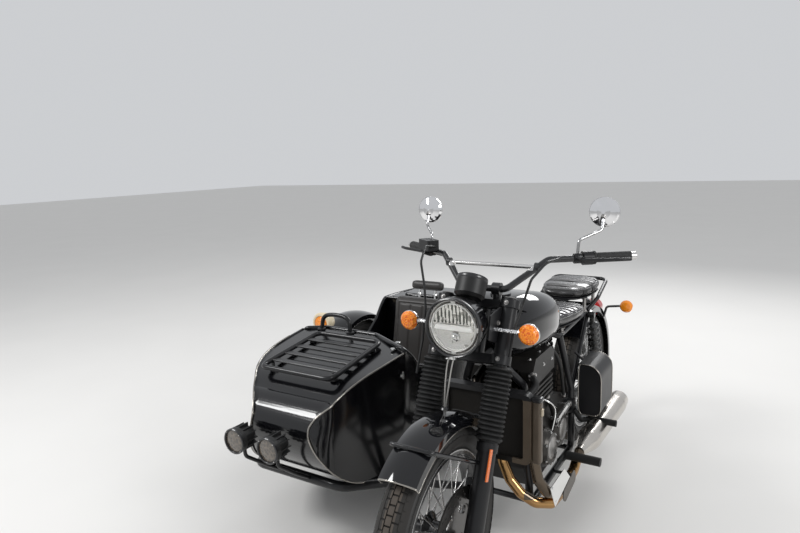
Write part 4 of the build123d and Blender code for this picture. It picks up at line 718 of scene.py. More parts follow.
# Bolts on the fork yokes, and a cap on each leg. The legs are FORK_OFF ahead of the stem, and LEG_X aside.
FORK_OFF = 45
LEG_X = 111
leg_up, leg_front = Vector((0, sin(RAKE), cos(RAKE))), Vector((0, -cos(RAKE), sin(RAKE)))
stem_foot = bike(0, FRONT_Y + FORK_OFF * cos(RAKE), AXLE_Z - FORK_OFF * sin(RAKE))
heads = []
for side in (-1, 1):
    leg_foot = stem_foot + leg_front * FORK_OFF / 1000 + mm(side * LEG_X, 0, 0)
    for climb in (541, 719):
        heads += bolt_data(leg_foot + leg_up * climb / 1000 + leg_front * 0.0315, leg_front, 5, 6)
    heads.append(lathe_data(aim(leg_foot + leg_up * 0.738, leg_up),
                            [(0, 5), (9, 5), (11, 3), (19, 2.4), (20.4, 0.2)], 32))
    heads += bolt_data(bike(side * 97.05, -545, 940), (side, 0, 0), 6, 6)
joined("yoke_bolts", heads, dull, "steering", "satin_black")


# ---------------------------------------------------------------- soft goods
SQUARENESS = 0.55


def rounded_block(matrix, size, corner):
    """A box with round corners, centred on the matrix."""
    made = bmesh.new()
    bmesh.ops.create_cube(made, size=1.0)
    for v in made.verts:
        v.co = Vector((v.co.x * size[0], v.co.y * size[1], v.co.z * size[2]))
    bmesh.ops.bevel(made, geom=made.edges[:], offset=corner, segments=5, profile=0.5, affect="EDGES")
    bmesh.ops.subdivide_edges(made, edges=made.edges[:], cuts=2, use_grid_fill=True)
    for v in made.verts:
        v.co = matrix @ (v.co / 1000)
    mesh = bpy.data.meshes.new("block")
    made.to_mesh(mesh)
    made.free()
    return mesh


def saddle_form(sections):
    """A closed form through sections of (y, half width, low, high), in the motorcycle's frame."""
    steps = 32
    verts = []
    for y, half, low, high in sections:
        tall = (high - low) / 2
        for step in range(steps):
            across, up = (abs(v) ** SQUARENESS * (1 if v > 0 else -1)
                          for v in (cos(2 * pi * step / steps), sin(2 * pi * step / steps)))
            verts.append(bike(half * across, y, low + tall + tall * up))
    last = (len(sections) - 1) * steps
    faces = []
    for ring in range(0, last, steps):
        for step in range(steps):
            a, b = ring + step, ring + (step + 1) % steps
            faces.append((a, b, b + steps, a + steps))
    faces += [tuple(reversed(range(steps))), tuple(range(last, last + steps))]
    return mesh_from("saddle_form", verts, faces)


# The cloth simulation that fills the pads, and the rounds of smoothing after it.
SIM_FRAMES = 20
CALM_ROUNDS = 8
pads = []


def settled(obj):
    """The object's mesh with its modifiers applied."""
    return bpy.data.meshes.new_from_object(obj.evaluated_get(bpy.context.evaluated_depsgraph_get()))


def pad(name, mesh, node, finish, cap, flat=None, voxel=0.0055):
    """A form that is remeshed for the cloth. It swells by cap at most, and rests on something below flat."""
    obj = add(name, mesh)
    grid = obj.modifiers.new("grid", "REMESH")
    grid.mode = "VOXEL"
    grid.voxel_size = voxel
    obj.data = settled(obj)
    obj.modifiers.clear()
    if flat is not None:
        held = obj.vertex_groups.new(name="held")
        held.add([v.index for v in obj.data.vertices if v.co.z < flat], 1.0, "REPLACE")
    dress(obj, finish)
    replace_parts(obj, node)
    pads.append((obj, finish, cap / 1000))
    return obj


def swell():
    """All the pads fill at once under pressure; no point may move further than its pad's cap."""
    for obj, _, _ in pads:
        cloth = obj.modifiers.new("fill", "CLOTH")
        cloth.collision_settings.use_collision = False
        rule = cloth.settings
        rule.quality = 4
        rule.mass = 0.4
        rule.tension_stiffness = rule.compression_stiffness = 12
        rule.bending_stiffness = 1.5
        rule.use_pressure = True
        rule.uniform_pressure_force = 4.0
        rule.effector_weights.gravity = 0.0
        if obj.vertex_groups:
            rule.vertex_group_mass = "held"
    for step in range(1, SIM_FRAMES + 1):
        SCENE.frame_set(step)
    for (obj, _, cap), full in zip(pads, [settled(obj) for obj, _, _ in pads]):
        obj.modifiers.clear()
        for v, now in zip(obj.data.vertices, full.vertices):
            step = now.co - v.co
            if step.length > cap:
                step *= cap / step.length
            v.co += step
        bpy.data.meshes.remove(full)
        with editing(obj.data) as made:
            for _ in range(CALM_ROUNDS):
                bmesh.ops.smooth_vert(made, verts=made.verts, factor=0.5, use_axis_x=True, use_axis_y=True,
                                      use_axis_z=True)
    SCENE.frame_set(1)


def refine(obj, finish):
    """One subdivision, kept in the mesh."""
    finer = obj.modifiers.new("finer", "SUBSURF")
    finer.levels = finer.render_levels = 1
    obj.data = settled(obj)
    obj.modifiers.clear()
    paint(obj, finish)
    smooth(obj.data)


def smooth_step(value, low, high):
    share = min(1.0, max(0.0, (value - low) / (high - low)))
    return share * share * (3 - 2 * share)


def sew(obj, frame_at, channel):
    """Move each point against its normal by what channel says of its place and normal in the frame."""
    turn = frame_at.to_3x3().inverted()
    back = frame_at.inverted()
    moves = [v.normal * -channel(back @ v.co * 1000, turn @ v.normal) / 1000 for v in obj.data.vertices]
    for v, move in zip(obj.data.vertices, moves):
        v.co += move


def skin(obj):
    return BVHTree.FromPolygons([v.co for v in obj.data.vertices],
                                [list(p.vertices) for p in obj.data.polygons])


def welt(name, obj, frame_at, radius, count=72):
    """Piping round a pad, where the frame's plane meets its skin."""
    tree = skin(obj)
    spots = []
    for step in range(count):
        angle = 2 * pi * step / count
        out = frame_at.to_3x3() @ Vector((cos(angle), sin(angle), 0))
        hit = tree.ray_cast(frame_at.translation + out, -out)[0]
        if hit is not None:
            spots.append(hit - out * WELT_SUNK / 1000)
    cable(name, spots, radius, piping, slot=obj["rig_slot"], cyclic=True)


def groove(distance, deep, wide):
    return deep * exp(-(distance / wide) ** 2)


WELT_SUNK = 0.6
piping = Finish("seat_piping", (0.020, 0.019, 0.018), 0.35, sheen=0.1).drift(0.2, 30.0).grain(1500, 0.3)
RIDER = ((79, 80, 762, 791), (100, 98, 757, 801), (170, 118, 755, 805), (240, 132, 755, 805),
         (310, 139, 755, 803), (362, 128, 756, 799), (388, 100, 758, 794), (399, 66, 762, 787))
PILLION = ((408, 44, 817, 829), (420, 76, 812, 838), (460, 102, 809, 846), (520, 118, 808, 853),
           (600, 123, 808, 856), (670, 119, 808, 855), (722, 98, 810, 850), (746, 64, 815, 840))
rider = pad("rider_saddle_pad", saddle_form(RIDER), "rider_saddle", leather, 7, flat=0.760)
pillion = pad("pillion_saddle_pad", saddle_form(PILLION), "pillion_saddle", leather, 7, flat=0.812)

CUSHION_Y = 135
BACK_MIDDLE = 212
# Local x across, local y rearward through the back, local z up its slope.
BACK = Matrix.Translation(car(0, 366, 339.5)) @ Matrix.Rotation(radians(-12), 4, "X")
back_at = BACK @ shift(0, 0, BACK_MIDDLE)
head_at = BACK @ shift(0, 0, 471)
cushion = pad("seat_cushion_pad",
              rounded_block(Matrix.Translation(car(0, CUSHION_Y, 381)), (484, 350, 96), 30), "seat_cushion",
              car_leather, 12, flat=0.336, voxel=0.008)
back = pad("seat_back_pad", rounded_block(back_at, (374, 66, 406), 26), "seat_back", car_leather, 9,
           voxel=0.007)
head = pad("head_pad_pad", rounded_block(head_at, (182, 42, 48), 17), "head_pad", car_leather, 6, voxel=0.005)
swell()
for obj, finish, _ in pads:
    refine(obj, finish)


def pleats(first, last, pitch):
    """Cross channels on top of a saddle, with full rolls between them."""
    def channel(spot, normal):
        line = round((spot.y - first) / pitch)
        if not 0 <= line <= round((last - first) / pitch):
            return 0.0
        return groove(spot.y - first - line * pitch, 4.5, 4.2) * smooth_step(normal.z, 0.55, 0.9)
    return channel


def panel(x, y, side, end, deep, channel_deep):
    """The depth of a sewn panel's seams: at side and end from its middle, and three channels up it."""
    depth = groove(abs(x) - side, deep, 5) if abs(y) < end + 2 else 0.0
    if abs(x) < side + 2:
        depth = max(depth, groove(abs(y) - end, deep, 5))
        if abs(y) < end:
            depth = max(depth, *(groove(x - at, channel_deep, 5) for at in (-side / 2, 0, side / 2)))
    return depth


AT_BIKE = Matrix.Translation(bike(0, 0, 0))
AT_CAR = Matrix.Translation(car(0, 0, 0))
sew(rider, AT_BIKE, pleats(150, 350, 33.3))
sew(pillion, AT_BIKE, pleats(580, 712, 33.0))
sew(cushion, AT_CAR, lambda spot, normal: panel(spot.x, spot.y - CUSHION_Y, 190, 122, 6, 5)
    * smooth_step(normal.z, 0.5, 0.85))
sew(back, BACK, lambda spot, normal: panel(spot.x, spot.z - BACK_MIDDLE, 142, 158, 5, 4.5)
    * smooth_step(abs(normal.y), 0.5, 0.85))
for name, obj, y, z, radius in (("rider_welt", rider, 240, 789, 2.6),
                                ("pillion_welt", pillion, 590, 843, 2.6),
                                ("rider_skirt", rider, 240, 764, 2.2),
                                ("pillion_skirt", pillion, 590, 816, 2.2)):
    welt(name, obj, Matrix.Translation(bike(0, y, z)), radius)
welt("cushion_welt", cushion, Matrix.Translation(car(0, CUSHION_Y, 414)), 3.0, 96)
for name, obj, centre, inset in (("back_welt_front", back, back_at, -24),
                                 ("back_welt_rear", back, back_at, 24), ("head_welt", head, head_at, -12)):
    welt(name, obj, centre @ shift(0, inset, 0) @ Matrix.Rotation(pi / 2, 4, "X"), 2.4, 96)
lathe("seat_spacer", aim(car(0, 404, 560), (0, 1, 0)),
      [(30, -8), (30, 100), (38, 101), (38, 107.6), (0, 107.6)], trim_black, slot="black_frame", steps=32)
up_back = BACK.to_3x3() @ Vector((0, 0, 1))
posts = [lathe_data(aim(BACK @ mm(side * 46, 0, rise), up_back), outline, 20) for side in (-1, 1)
         for rise, outline in ((396, [(6, 0), (6, 56)]), (424, [(6, 0), (12, 0), (11, 6), (6, 7)]))]
joined("head_posts", posts, bright)

# Two broad straps over the pillion saddle, each following its skin and going under its edges.
STRAP_WIDE = 30
STRAP_STEPS = 40
strap_leather = Finish("strap_leather", (0.012, 0.011, 0.011), 0.5, slot="saddle_leather").drift(0.3, 25.0)
strap_leather.hide(900, 0.3)
for name, y in (("pillion_strap_front", 474), ("pillion_strap_rear", 558)):
    tree = skin(pillion)
    rows = []
    for step in range(STRAP_STEPS + 1):
        angle = radians(-28 + 236 * step / STRAP_STEPS)
        out = Vector((cos(angle), 0, sin(angle)))
        hits = [tree.ray_cast(bike(0, y + edge, 834) + out * 0.4, -out)[0]
                for edge in (-STRAP_WIDE / 2, STRAP_WIDE / 2)]
        if None not in hits:
            (a, b), low, high = hits, out * 0.0004, out * 0.0030
            rows.append([a + low, a + high, b + high, b + low])
    faces = [(4 * i + j, 4 * i + (j + 1) % 4, 4 * i + 4 + (j + 1) % 4, 4 * i + 4 + j)
             for i in range(len(rows) - 1) for j in range(4)]
    faces += [(3, 2, 1, 0), tuple(4 * (len(rows) - 1) + j for j in range(4))]
    piece(name, [spot for row in rows for spot in row], faces, strap_leather)


# ---------------------------------------------------------------- sidecar shell
# The nose corner, in y and z, how far it is drawn in, and how wide that reaches.
NOSE_CORNER = (-738.0, 634.0)
NOSE_PULL = (38.0, -40.0)
NOSE_SPREAD = 132.0


def drawn(y, z):
    """Where the drawn-in nose corner takes a place of the CAD tub."""
    share = exp(-(hypot(y - NOSE_CORNER[0], z - NOSE_CORNER[1]) / NOSE_SPREAD) ** 2)
    return y + NOSE_PULL[0] * share, z + NOSE_PULL[1] * share


def tub_shell():
    """The tub's own mesh, its nose corner drawn in to the soft curve from the deck to the front."""
    mesh = NODES["sidecar_tub"].data.copy()
    with editing(mesh) as made:
        bmesh.ops.remove_doubles(made, verts=made.verts, dist=0.00001)
        for longest in (0.30, 0.15, 0.08, 0.04, 0.024):
            chosen = [e for e in made.edges if min(v.co.y for v in e.verts) < -0.42
                      and max(v.co.z for v in e.verts) > 0.34 and e.calc_length() > longest]
            bmesh.ops.subdivide_edges(made, edges=chosen, cuts=1)
            bmesh.ops.triangulate(made, faces=[f for f in made.faces if len(f.verts) > 3])
        for v in made.verts:
            v.co.yz = Vector(drawn(v.co.y * 1000, v.co.z * 1000)) / 1000
    smooth(mesh)
    mesh.set_sharp_from_angle(angle=radians(26))
    obj = add("tub_shell", mesh)
    obj.modifiers.new("even", "WEIGHTED_NORMAL").keep_sharp = True
    enamel = Finish("tub_paint", GLOSS, 0.14, coat=1.0, shine=0.1, slot="gloss_black")
    enamel.drift(0.3, 5.0, 0.25).grain(140, 0.02)
    enamel.put("Coat Roughness", 0.14)
    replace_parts(dress(obj, enamel), "sidecar_tub")


tub_shell()

# The tub's upper and front edge in y and z, and its half width: full behind the first spot, and then on the
# curves through three (y, half width) spots, on the near side and on the far side.
TUB_EDGE = ((-285, 688), (-350, 679), (-430, 668), (-510, 656.6), (-590, 645.4), (-640, 638.5), (-672, 634),
            (-698, 630), (-720, 624), (-734, 614), (-745, 600), (-753, 582), (-758, 560), (-757, 530),
            (-752, 500), (-738, 450), (-714, 402), (-681, 356), (-640, 316), (-590, 280), (-535, 255),
            (-480, 241), (-420, 236), (-300, 236), (-150, 236), (0, 236), (200, 237), (400, 237))
TUB_HALF = 300
TUB_PLAN = (("near", 1, ((-277, 300), (-485, 266), (-672, 226)), ((-672, 226), (-728, 208), (-760, 170))),
            ("far", -1, ((-330, 300), (-510, 262), (-640, 190)), ((-640, 190), (-714, 142), (-760, 96))))
# Grey metal for beads that are gloss black: a painted highlight along their edges.
painted_highlight_bead = Finish("tub_bead_painted_highlight", (0.36, 0.34, 0.31), 0.2, metal=0.9, slot="chrome")
painted_highlight_bead.drift(0.2, 12.0).grain(500, 0.05)


def through(spots, y):
    """The half width at y on the curve through three (y, half) spots."""
    (a, p), (b, q), (c, r) = spots
    return (p * (y - b) * (y - c) / (a - b) / (a - c) + q * (y - a) * (y - c) / (b - a) / (b - c)
            + r * (y - a) * (y - b) / (c - a) / (c - b))


# A bead on each edge between the tub's skin and its side panel. The bead is real and gloss black; its grey
# metal colour is a painted highlight.
for tag, side, middle, front in TUB_PLAN:
    line = []
    for (y0, z0), (y, z), (y1, z1) in zip(TUB_EDGE[:1] + TUB_EDGE, TUB_EDGE, TUB_EDGE[1:] + TUB_EDGE[-1:]):
        half = TUB_HALF if y > middle[0][0] else through(middle if y > middle[2][0] else front, y)
        run = hypot(y1 - y0, z1 - z0)
        line.append(car(side * (half - 1.5), *drawn(y + 4.5 * (z1 - z0) / run, z - 4.5 * (y1 - y0) / run)))
    cable(f"tub_bead_painted_highlight_{tag}", line, 3.4, painted_highlight_bead)


# ---------------------------------------------------------------- sidecar rack and fittings
def bar_data(start, end, wide, thick, face=(0, 0, 1)):
    """A flat bar with eased edges, from start to end in metres; face is the way its broad side looks."""
    run = (end - start).normalized()
    up_dir = Vector(face)
    up_dir = (up_dir - run * up_dir.dot(run)).normalized()
    side_dir = run.cross(up_dir)
    w, t, c = wide / 2000, thick / 2000, min(wide, thick) / 5000
    ring = [(w - c, -t), (w, -t + c), (w, t - c), (w - c, t), (c - w, t), (-w, t - c), (-w, c - t),
            (c - w, -t)]
    verts = [spot + side_dir * a + up_dir * b for spot in (start, end) for a, b in ring]
    faces = [(i, (i + 1) % 8, 8 + (i + 1) % 8, 8 + i) for i in range(8)]
    return verts, faces + [tuple(reversed(range(8))), tuple(range(8, 16))]


# The rack's corners, and the two places, 70 mm off, that keep each corner's bend short.
FRONT_LEFT, FRONT_RIGHT = Vector((-170, -600, 668)), Vector((172, -600, 668))
REAR_RIGHT, REAR_LEFT = Vector((166, -246, 712)), Vector((-166, -246, 712))
aft = Vector((0, 354, 44)).normalized() * 70
inward = Vector((70, 0, 0))
route = [FRONT_LEFT + inward, FRONT_RIGHT - inward, FRONT_RIGHT, FRONT_RIGHT + aft, REAR_RIGHT - aft,
         REAR_RIGHT, REAR_RIGHT - inward, REAR_LEFT + inward, REAR_LEFT, REAR_LEFT - aft, FRONT_LEFT + aft,
         FRONT_LEFT]
rack = cable("nose_rack", [car(*spot) for spot in route], 10.5, black_frame, cyclic=True, sides=5)
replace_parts(rack, "tub_rails")
slats = []
for share in (0.2, 0.4, 0.6, 0.8):
    _, y, z = FRONT_LEFT.lerp(REAR_LEFT, share)
    slats.append(bar_data(car(-167, y, z), car(167, y, z), 30, 6))
joined("rack_slats", slats, black_frame, rounded=False)
feet = []
for side in (-1, 1):
    for share, deck in ((0.14, 650), (0.86, 690)):
        _, y, z = FRONT_LEFT.lerp(REAR_LEFT, share)
        foot = aim(car(side * 152, y, deck - 12), (0, 0, 1))
        feet.append(lathe_data(foot, [(6.5, 0), (6.5, z - deck + 10)], 20))
        feet.append(lathe_data(foot, [(6, 8), (17, 9), (16, 15), (7, 17)], 24))
joined("rack_feet", feet, black_frame)

HOOP = ((-206, -170, 696), (-204, -168, 726), (-196, -164, 764), (-160, -160, 776), (-92, -160, 776),
        (-56, -164, 764), (-48, -168, 726), (-46, -170, 696))
cable("cockpit_hoop", [car(*spot) for spot in HOOP], 9.5, black_frame, sides=5)
# The hoop's feet, and the trunk lid's two hinge barrels on their posts.
fittings = [lathe_data(aim(car(x, -170, 704), (0, 0, 1)), [(9, 0), (20, 1), (19, 6), (10, 9)], 28)
            for x in (-206, -46)]
for side in (-1, 1):
    fittings.append(lathe_data(aim(car(side * 120 - 30, 548, 716), (1, 0, 0)),
                               [(0, 0), (4, 0), (4, 60), (0, 60)], 20))
    for end in (-26, 26):
        fittings.append(lathe_data(aim(car(side * 120 + end, 548, 700), (0, 0, 1)),
                                   [(4.5, 0), (4.5, 16), (0, 19)], 20))
joined("deck_fittings", fittings, black_frame)

# A bright catch on the tub's inner panel, and round pads on its deck.
catch = [box_data(Matrix.Translation(car(301.5, -306, 611)), (4, 26, 12), 0.85),
         box_data(Matrix.Translation(car(305.5, -306, 611)), (6, 8, 30), 0.8)]
joined("panel_catch", catch + bolt_data(car(303, -318, 611), (1, 0, 0), 2.6, 3), bright)
joined("deck_pads", [lathe_data(aim(car(*spot), (0, 0, 1)), [(0, 7), (7, 6.4), (10, 4.5), (11, 0)], 28)
                     for spot in ((252, -250, 703), (222, -206, 704), (237, -268, 697))], bright)

# Marker lamp: a broad pale ring round the amber lens.
cream = Finish("marker_cream", (0.70, 0.60, 0.42), 0.35, coat=0.2, slot="amber_lens")
cream.drift(0.1, 30.0).grain(500, 0.1)
lens_middle = MARKER + mm(12, 0, 0)
marker_at = aim(lens_middle, (0, -1, 0))
lathe("marker_ring", marker_at,
      [(38, 8), (40, 14), (44, 16), (52, 14), (57, 7), (56, -4), (49, -30), (38, -56), (0, -57)], cream,
      steps=56)
marker_amber = Finish("marker_lens_amber", AMBER, 0.2, coat=0.4, slot="amber_lens").drift(0.1, 30.0)
marker_amber.bump(marker_amber.wave(marker_amber.distance(lens_middle), 1400.0), 0.5, 0.002)
lathe("marker_lens", marker_at, [(0, 23), (14, 22.4), (28, 19.5), (36, 15.5), (38.5, 11), (38.5, 6), (0, 6)],
      marker_amber)

# The sidecar's lamps as the CAD has them, but for the marker's head and stalk, which have their own pieces.
lamp_mesh = NODES["sidecar_lamps"].data.copy()
with editing(lamp_mesh) as made:
    marker_head = [v for v in made.verts
                   if (v.co - MARKER).length < 0.075 and v.co.y < MARKER.y + 0.059 and v.co.z > 0.585]
    bmesh.ops.delete(made, geom=marker_head, context="VERTS")
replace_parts(dress(add("sidecar_lamp_bodies", lamp_mesh), lamps), "sidecar_lamps")
lathe("marker_stalk", aim(bike(-1178, 176, 557), (0, 0, 1)),
      [(0, 0), (17, 0), (14, 5), (11, 12), (11, 46), (0, 48)], trim_black, steps=32)


# ---------------------------------------------------------------- motorcycle fittings
# Saddle pans and their stands on the seat rails.
for name, rows, level in (("rider_pan", RIDER, 753), ("pillion_pan", PILLION, 804)):
    mesh = saddle_form([(y, half * 0.93, level - 3, level + 7) for y, half, _, _ in rows])
    smooth(mesh)
    mesh.set_sharp_from_angle(angle=radians(40))
    dress(add(name, mesh), satin_black)
stands = []
for side in (-1, 1):
    for y, foot, top in ((140, 733, 751), (340, 738, 751), (486, 742, 803), (640, 747, 803)):
        tall = top - foot + 3
        stands.append(lathe_data(aim(bike(side * 92, y, foot - 3), (0, 0, 1)),
                                 [(13, 0), (13, 4), (8, 6), (8, tall - 6), (14, tall - 3), (14, tall)], 24))
joined("saddle_stands", stands, dull, slot="black_frame")

# Hoses with a clamp at each end: name, radius, route.
HOSES = (
    ("coolant_hose_upper", 13, ((118, -404, 636), (150, -372, 662), (150, -332, 684), (118, -306, 694))),
    ("coolant_hose_side", 11, ((113, -130, 560), (126, -100, 520), (132, -66, 452), (124, -34, 398))),
    ("coolant_hose_right", 13, ((-116, -404, 470), (-150, -376, 440), (-148, -330, 400), (-110, -296, 392))),
    ("breather_hose", 7, ((96, -96, 742), (120, -60, 722), (128, 10, 640), (122, 60, 540), (118, 96, 470))),
    ("engine_loom", 7, ((-96, -240, 742), (-132, -200, 716), (-136, -90, 640), (-122, 40, 560),
                        (-112, 100, 470))),
)
clamps = []
for name, radius, spots in HOSES:
    line = [bike(*spot) for spot in spots]
    cable(name, line, radius, black_rubber, sides=5)
    low, high = radius - 0.5, radius + 1.4
    for spot, other in ((line[0], line[1]), (line[-1], line[-2])):
        run = (other - spot).normalized()
        clamps.append(lathe_data(aim(spot + run * 0.012, run),
                                 [(low, -5), (high, -4.5), (high, 4.5), (low, 5)], 28))
joined("hose_clamps", clamps, dull)
cable("shift_rod", [bike(130, 146, 424), bike(133, 76, 420), bike(130, 4, 410)], 7, dull, sides=5)
rod_ends = [lathe_data(aim(bike(120, y, z), (1, 0, 0)), [(0, 0), (12, 0), (12, 12), (8, 16), (0, 17)], 28)
            for y, z in ((146, 424), (4, 410))]
joined("shift_rod_ends", rod_ends, dull)

# An amber strip of reflector on each fork leg, and the nuts of both axles.
amber_strip = Finish("strip_amber", (0.72, 0.14, 0.01), 0.25, coat=0.4, slot="amber_lens").grain(1800, 0.5)
joined("fork_strips",
       [bar_data(bike(side * 141.5, -747, 516), bike(side * 141.5, -708, 600), 18, 4, (side, 0, 0))
        for side in (1, -1)], amber_strip, "steering", rounded=False)
for body, axle_y, x in (("steering", FRONT_Y, 147), ("outfit", REAR_Y, 118)):
    parts = []
    for side in (1, -1):
        at_end = aim(bike(side * (x - 0.5), axle_y, AXLE_Z), (side, 0, 0))
        parts.append(lathe_data(at_end, [(10.5, 0), (17, 0), (17, 8), (14, 10), (0, 10)], 6))
        parts.append(lathe_data(at_end, [(20, -0.2), (20, 1.6), (12, 1.8)], 32))
    joined(f"axle_nuts_{body}", parts, dull, body, rounded=False)

# Beads along the fenders' edges: over the front and rear lips, and down both skirts. Columns: name, wheel,
# half width, inner radius, where the fender starts and how far it goes in degrees, how far its lip is
# crowned, the bead's radius, finish, body.
# The front bead's grey metal is a painted highlight on the fender's gloss black rim.
BEADS = (("front_bead", "front", 58, 352, 50, 102, 12, 2.8, painted_highlight_bead, "steering"),
         ("rear_bead", "rear", 72, 356, 48, 131.6, 11.3, 2.6, gloss_black, "outfit"),
         ("car_bead", "sidecar", 77, 319, 14, 158, 11.3, 2.6, bright, "outfit"))


def fender_beads(name, wheel, half, inner_r, start, arc, crown, radius, finish, body):
    x, axle_y, axle_z, _ = WHEELS[wheel]

    def spot(across, r, angle):
        return mm(x + across, axle_y - r * cos(radians(angle)), axle_z + r * sin(radians(angle)))

    for angle, tag in ((start, "front"), (start + arc, "rear")):
        over = [spot(half * s, inner_r + crown * (1 - s * s), angle) for s in (1, 0.5, 0, -0.5, -1)]
        ends = [[spot(side * half, inner_r - drop, angle) for drop in (22, 4)] for side in (1, -1)]
        cable(f"{name}_{tag}", [*ends[0], *over, *reversed(ends[1])], radius, finish, body)
    for side, tag in ((1, "left"), (-1, "right")):
        line = [spot(side * half, inner_r - 23, start + arc * i / 16) for i in range(17)]
        cable(f"{name}_{tag}", line, radius, finish, body)


for bead in BEADS:
    fender_beads(*bead)

def block(name, spot, size, corner, finish, rounded=True):
    mesh = rounded_block(Matrix.Translation(bike(*spot)), size, corner)
    if rounded:
        smooth(mesh)
    dress(add(name, mesh), finish)


# Side tank of the radiator, with its cap.
brown = Finish("side_tank", (0.095, 0.074, 0.054), 0.32, metal=0.35, slot="radiator_core")
brown.drift(0.25, 9.0, 0.2).grain(600, 0.12)
block("radiator_side_tank", (181, -415, 541), (32, 30, 222), 9, brown)
block("radiator_tank_cap", (181, -415, 657), (37, 35, 18), 7, trim_black)

# Two pale cables from the lamp to the front fender, into one grommet.
steel_line = Finish("steel_line", (0.42, 0.41, 0.39), 0.3, metal=0.6, slot="chrome").grain(900, 0.3)
LAMP_CABLES = {
    "left": ((-18, -640, 862), (-21, -662, 838), (-25, -669, 790), (-31, -668, 730), (-35, -664, 681)),
    "right": ((-3, -640, 860), (-4, -662, 836), (-10, -669, 790), (-20, -668, 735), (-29, -663, 700),
              (-32, -662, 681)),
}
for tag, spots in LAMP_CABLES.items():
    cable(f"lamp_cable_{tag}", [bike(*spot) for spot in spots], 2.2, steel_line, "steering")
lathe("cable_grommet", aim(bike(-34, -663, 676), (0, -0.25, 1)), [(0, 0), (13, 0), (13, 5), (8, 9), (0, 9)],
      trim_black, "steering", "black_rubber", 28)

# The bright heat plate that stands on the second header, from its front's corners and the way that looks.
HEAT = ((209, -366, 320), (226, -362, 255), (249, -272, 330), (234, -288, 364))
HEAT_OUT = Vector((0.896, -0.398, 0.199))
HEAT_THICK = 3
rim = [bike(*corner) for corner in HEAT]
through_it = (rim[1] - rim[0]).cross(rim[3] - rim[0]).normalized() * HEAT_THICK / 1000
middle = sum(rim, Vector()) / 4
rows = ([c.lerp(middle, 0.05) for c in rim], [c + through_it * 0.3 for c in rim],
        [c + through_it for c in rim])
faces = [(0, 1, 2, 3), (11, 10, 9, 8)]
for low in (0, 4):
    faces += [(low + i, low + (i + 1) % 4, low + 4 + (i + 1) % 4, low + 4 + i) for i in range(4)]
heat_parts = [([c for row in rows for c in row], faces)]
for spot in ((216, -357, 319), (227, -353, 272), (243, -281, 334), (234, -293, 353)):
    heat_parts += bolt_data(bike(*spot), HEAT_OUT, 4, 2.5)
joined("heat_plate", heat_parts, bright, slot="exhaust_steel", rounded=False)
cable("heat_clamp", [bike(214, -354, 302) - HEAT_OUT * 0.004, bike(204, -352, 298), bike(192, -350, 294)], 5,
      dull, slot="exhaust_steel")

# Beads round the side boxes' ends, whose outline is in x and z: pale lines painted as highlights on the satin
# black boxes' edges.
BOX_FRONT, BOX_LONG = 226, 200
BOX_RIM = ((141, 352), (141, 463), (141, 574), (162, 574), (184, 574), (206, 567), (220, 556), (231, 540),
           (236, 516), (236, 444), (236, 372), (226, 362), (216, 352), (178, 352))
for side, tag in SIDES[::-1]:
    for y, end in ((BOX_FRONT, "front"), (BOX_FRONT + BOX_LONG, "rear")):
        cable(f"box_bead_{end}_{tag}", [bike(side * x, y, z) for x, z in BOX_RIM], 2.6, painted_highlight_bead,
              slot="satin_black", cyclic=True)

# Linkage bar and breather line on the engine's side, and the plug of the radiator's side tank.
link = [box_data(Matrix.Translation(bike(177, -118, 499)) @ Matrix.Rotation(radians(5.5), 4, "X"),
                 (8, 150, 15), 0.9)]
for y, z in ((-178, 493), (-58, 505)):
    link += bolt_data(bike(181, y, z), (1, 0, 0), 5, 4)
    link.append(lathe_data(aim(bike(140, y, z), (1, 0, 0)), [(0, 0), (6, 0), (6, 34), (0, 34)], 16))
joined("engine_link", link, bright, slot="engine_alloy")
BREATHER = ((146, -250, 588), (168, -249, 584), (175, -226, 564), (175, -201, 536), (173, -200, 500),
            (166, -211, 462))
cable("breather_line", [bike(*spot) for spot in BREATHER], 3.2, bright, slot="engine_alloy")
brass = Finish("plug_brass", (0.42, 0.36, 0.27), 0.35, metal=0.4, slot="radiator_core").grain(700, 0.1)
block("tank_plug", (199, -421, 616), (9, 15, 26), 4, brass, rounded=False)


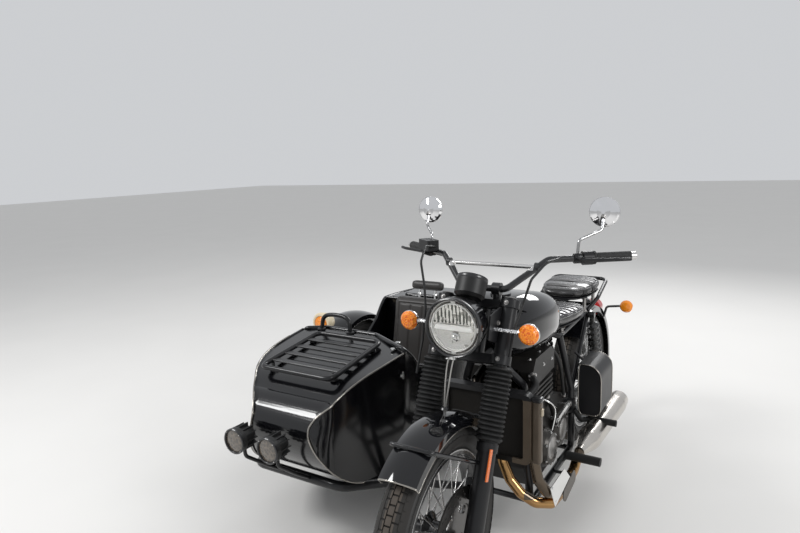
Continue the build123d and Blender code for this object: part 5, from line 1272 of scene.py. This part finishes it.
# ---------------------------------------------------------------- floor, light and camera
FLOOR_HALF = 30
corners = [(x * FLOOR_HALF, y * FLOOR_HALF, 0) for x, y in ((-1, -1), (1, -1), (1, 1), (-1, 1))]
floor = add("floor", mesh_from("floor", corners, [(0, 1, 2, 3)]))
paint(floor, Finish("studio_floor", (0.72, 0.71, 0.69), 0.8).drift(0.03, 1.5, 0.1))

world = bpy.data.worlds.new("studio")
SCENE.world = world
world.use_nodes = True
backdrop = world.node_tree.nodes["Background"].inputs
backdrop["Color"].default_value = (0.95, 0.97, 1.0, 1)
backdrop["Strength"].default_value = 0.64

# Lamps: name, place, what it shines at, size, power.
for name, place, target, size, power in (("key", (-3.2, -3.0, 4.4), (0, 0, 0.5), (2.0, 1.5), 165),
                                         ("side", (4.2, -1.2, 2.8), (0.3, 0, 0.6), (1.6, 1.2), 78),
                                         ("back", (0.5, 4.2, 3.4), (0, 0, 0.7), (2.4, 1.2), 90)):
    data = bpy.data.lights.new(name, "AREA")
    data.energy = power
    data.shape = "RECTANGLE"
    data.size, data.size_y = size
    light = add(name, data)
    light.location = place
    light.rotation_euler = (Vector(target) - Vector(place)).to_track_quat("-Z", "Y").to_euler()

# The photograph's camera, fitted to the round lamps, bar ends and wheels: angles in degrees, place in metres,
# and the distance to the picture plane in pixels of a picture 800 wide.
HEADING, PITCH, ROLL = 31.74, 9.86, 1.97
CAMERA_AT = (MIDDLE + 0.812, -2.269, 1.449)
FOCAL_PIXELS, PICTURE_WIDE = 611.0, 800.0
lens = bpy.data.cameras.new("photo_camera")
lens.sensor_width = 36.0
lens.lens = FOCAL_PIXELS / PICTURE_WIDE * lens.sensor_width
lens.clip_start, lens.clip_end = 0.05, 200
camera = add("photo_camera", lens)
camera.matrix_world = (Matrix.Translation(CAMERA_AT) @ Matrix.Rotation(radians(HEADING), 4, "Z")
                       @ Matrix.Rotation(radians(90 - PITCH), 4, "X")
                       @ Matrix.Rotation(radians(-ROLL), 4, "Z"))
SCENE.camera = camera
SCENE.view_settings.view_transform = "Standard"
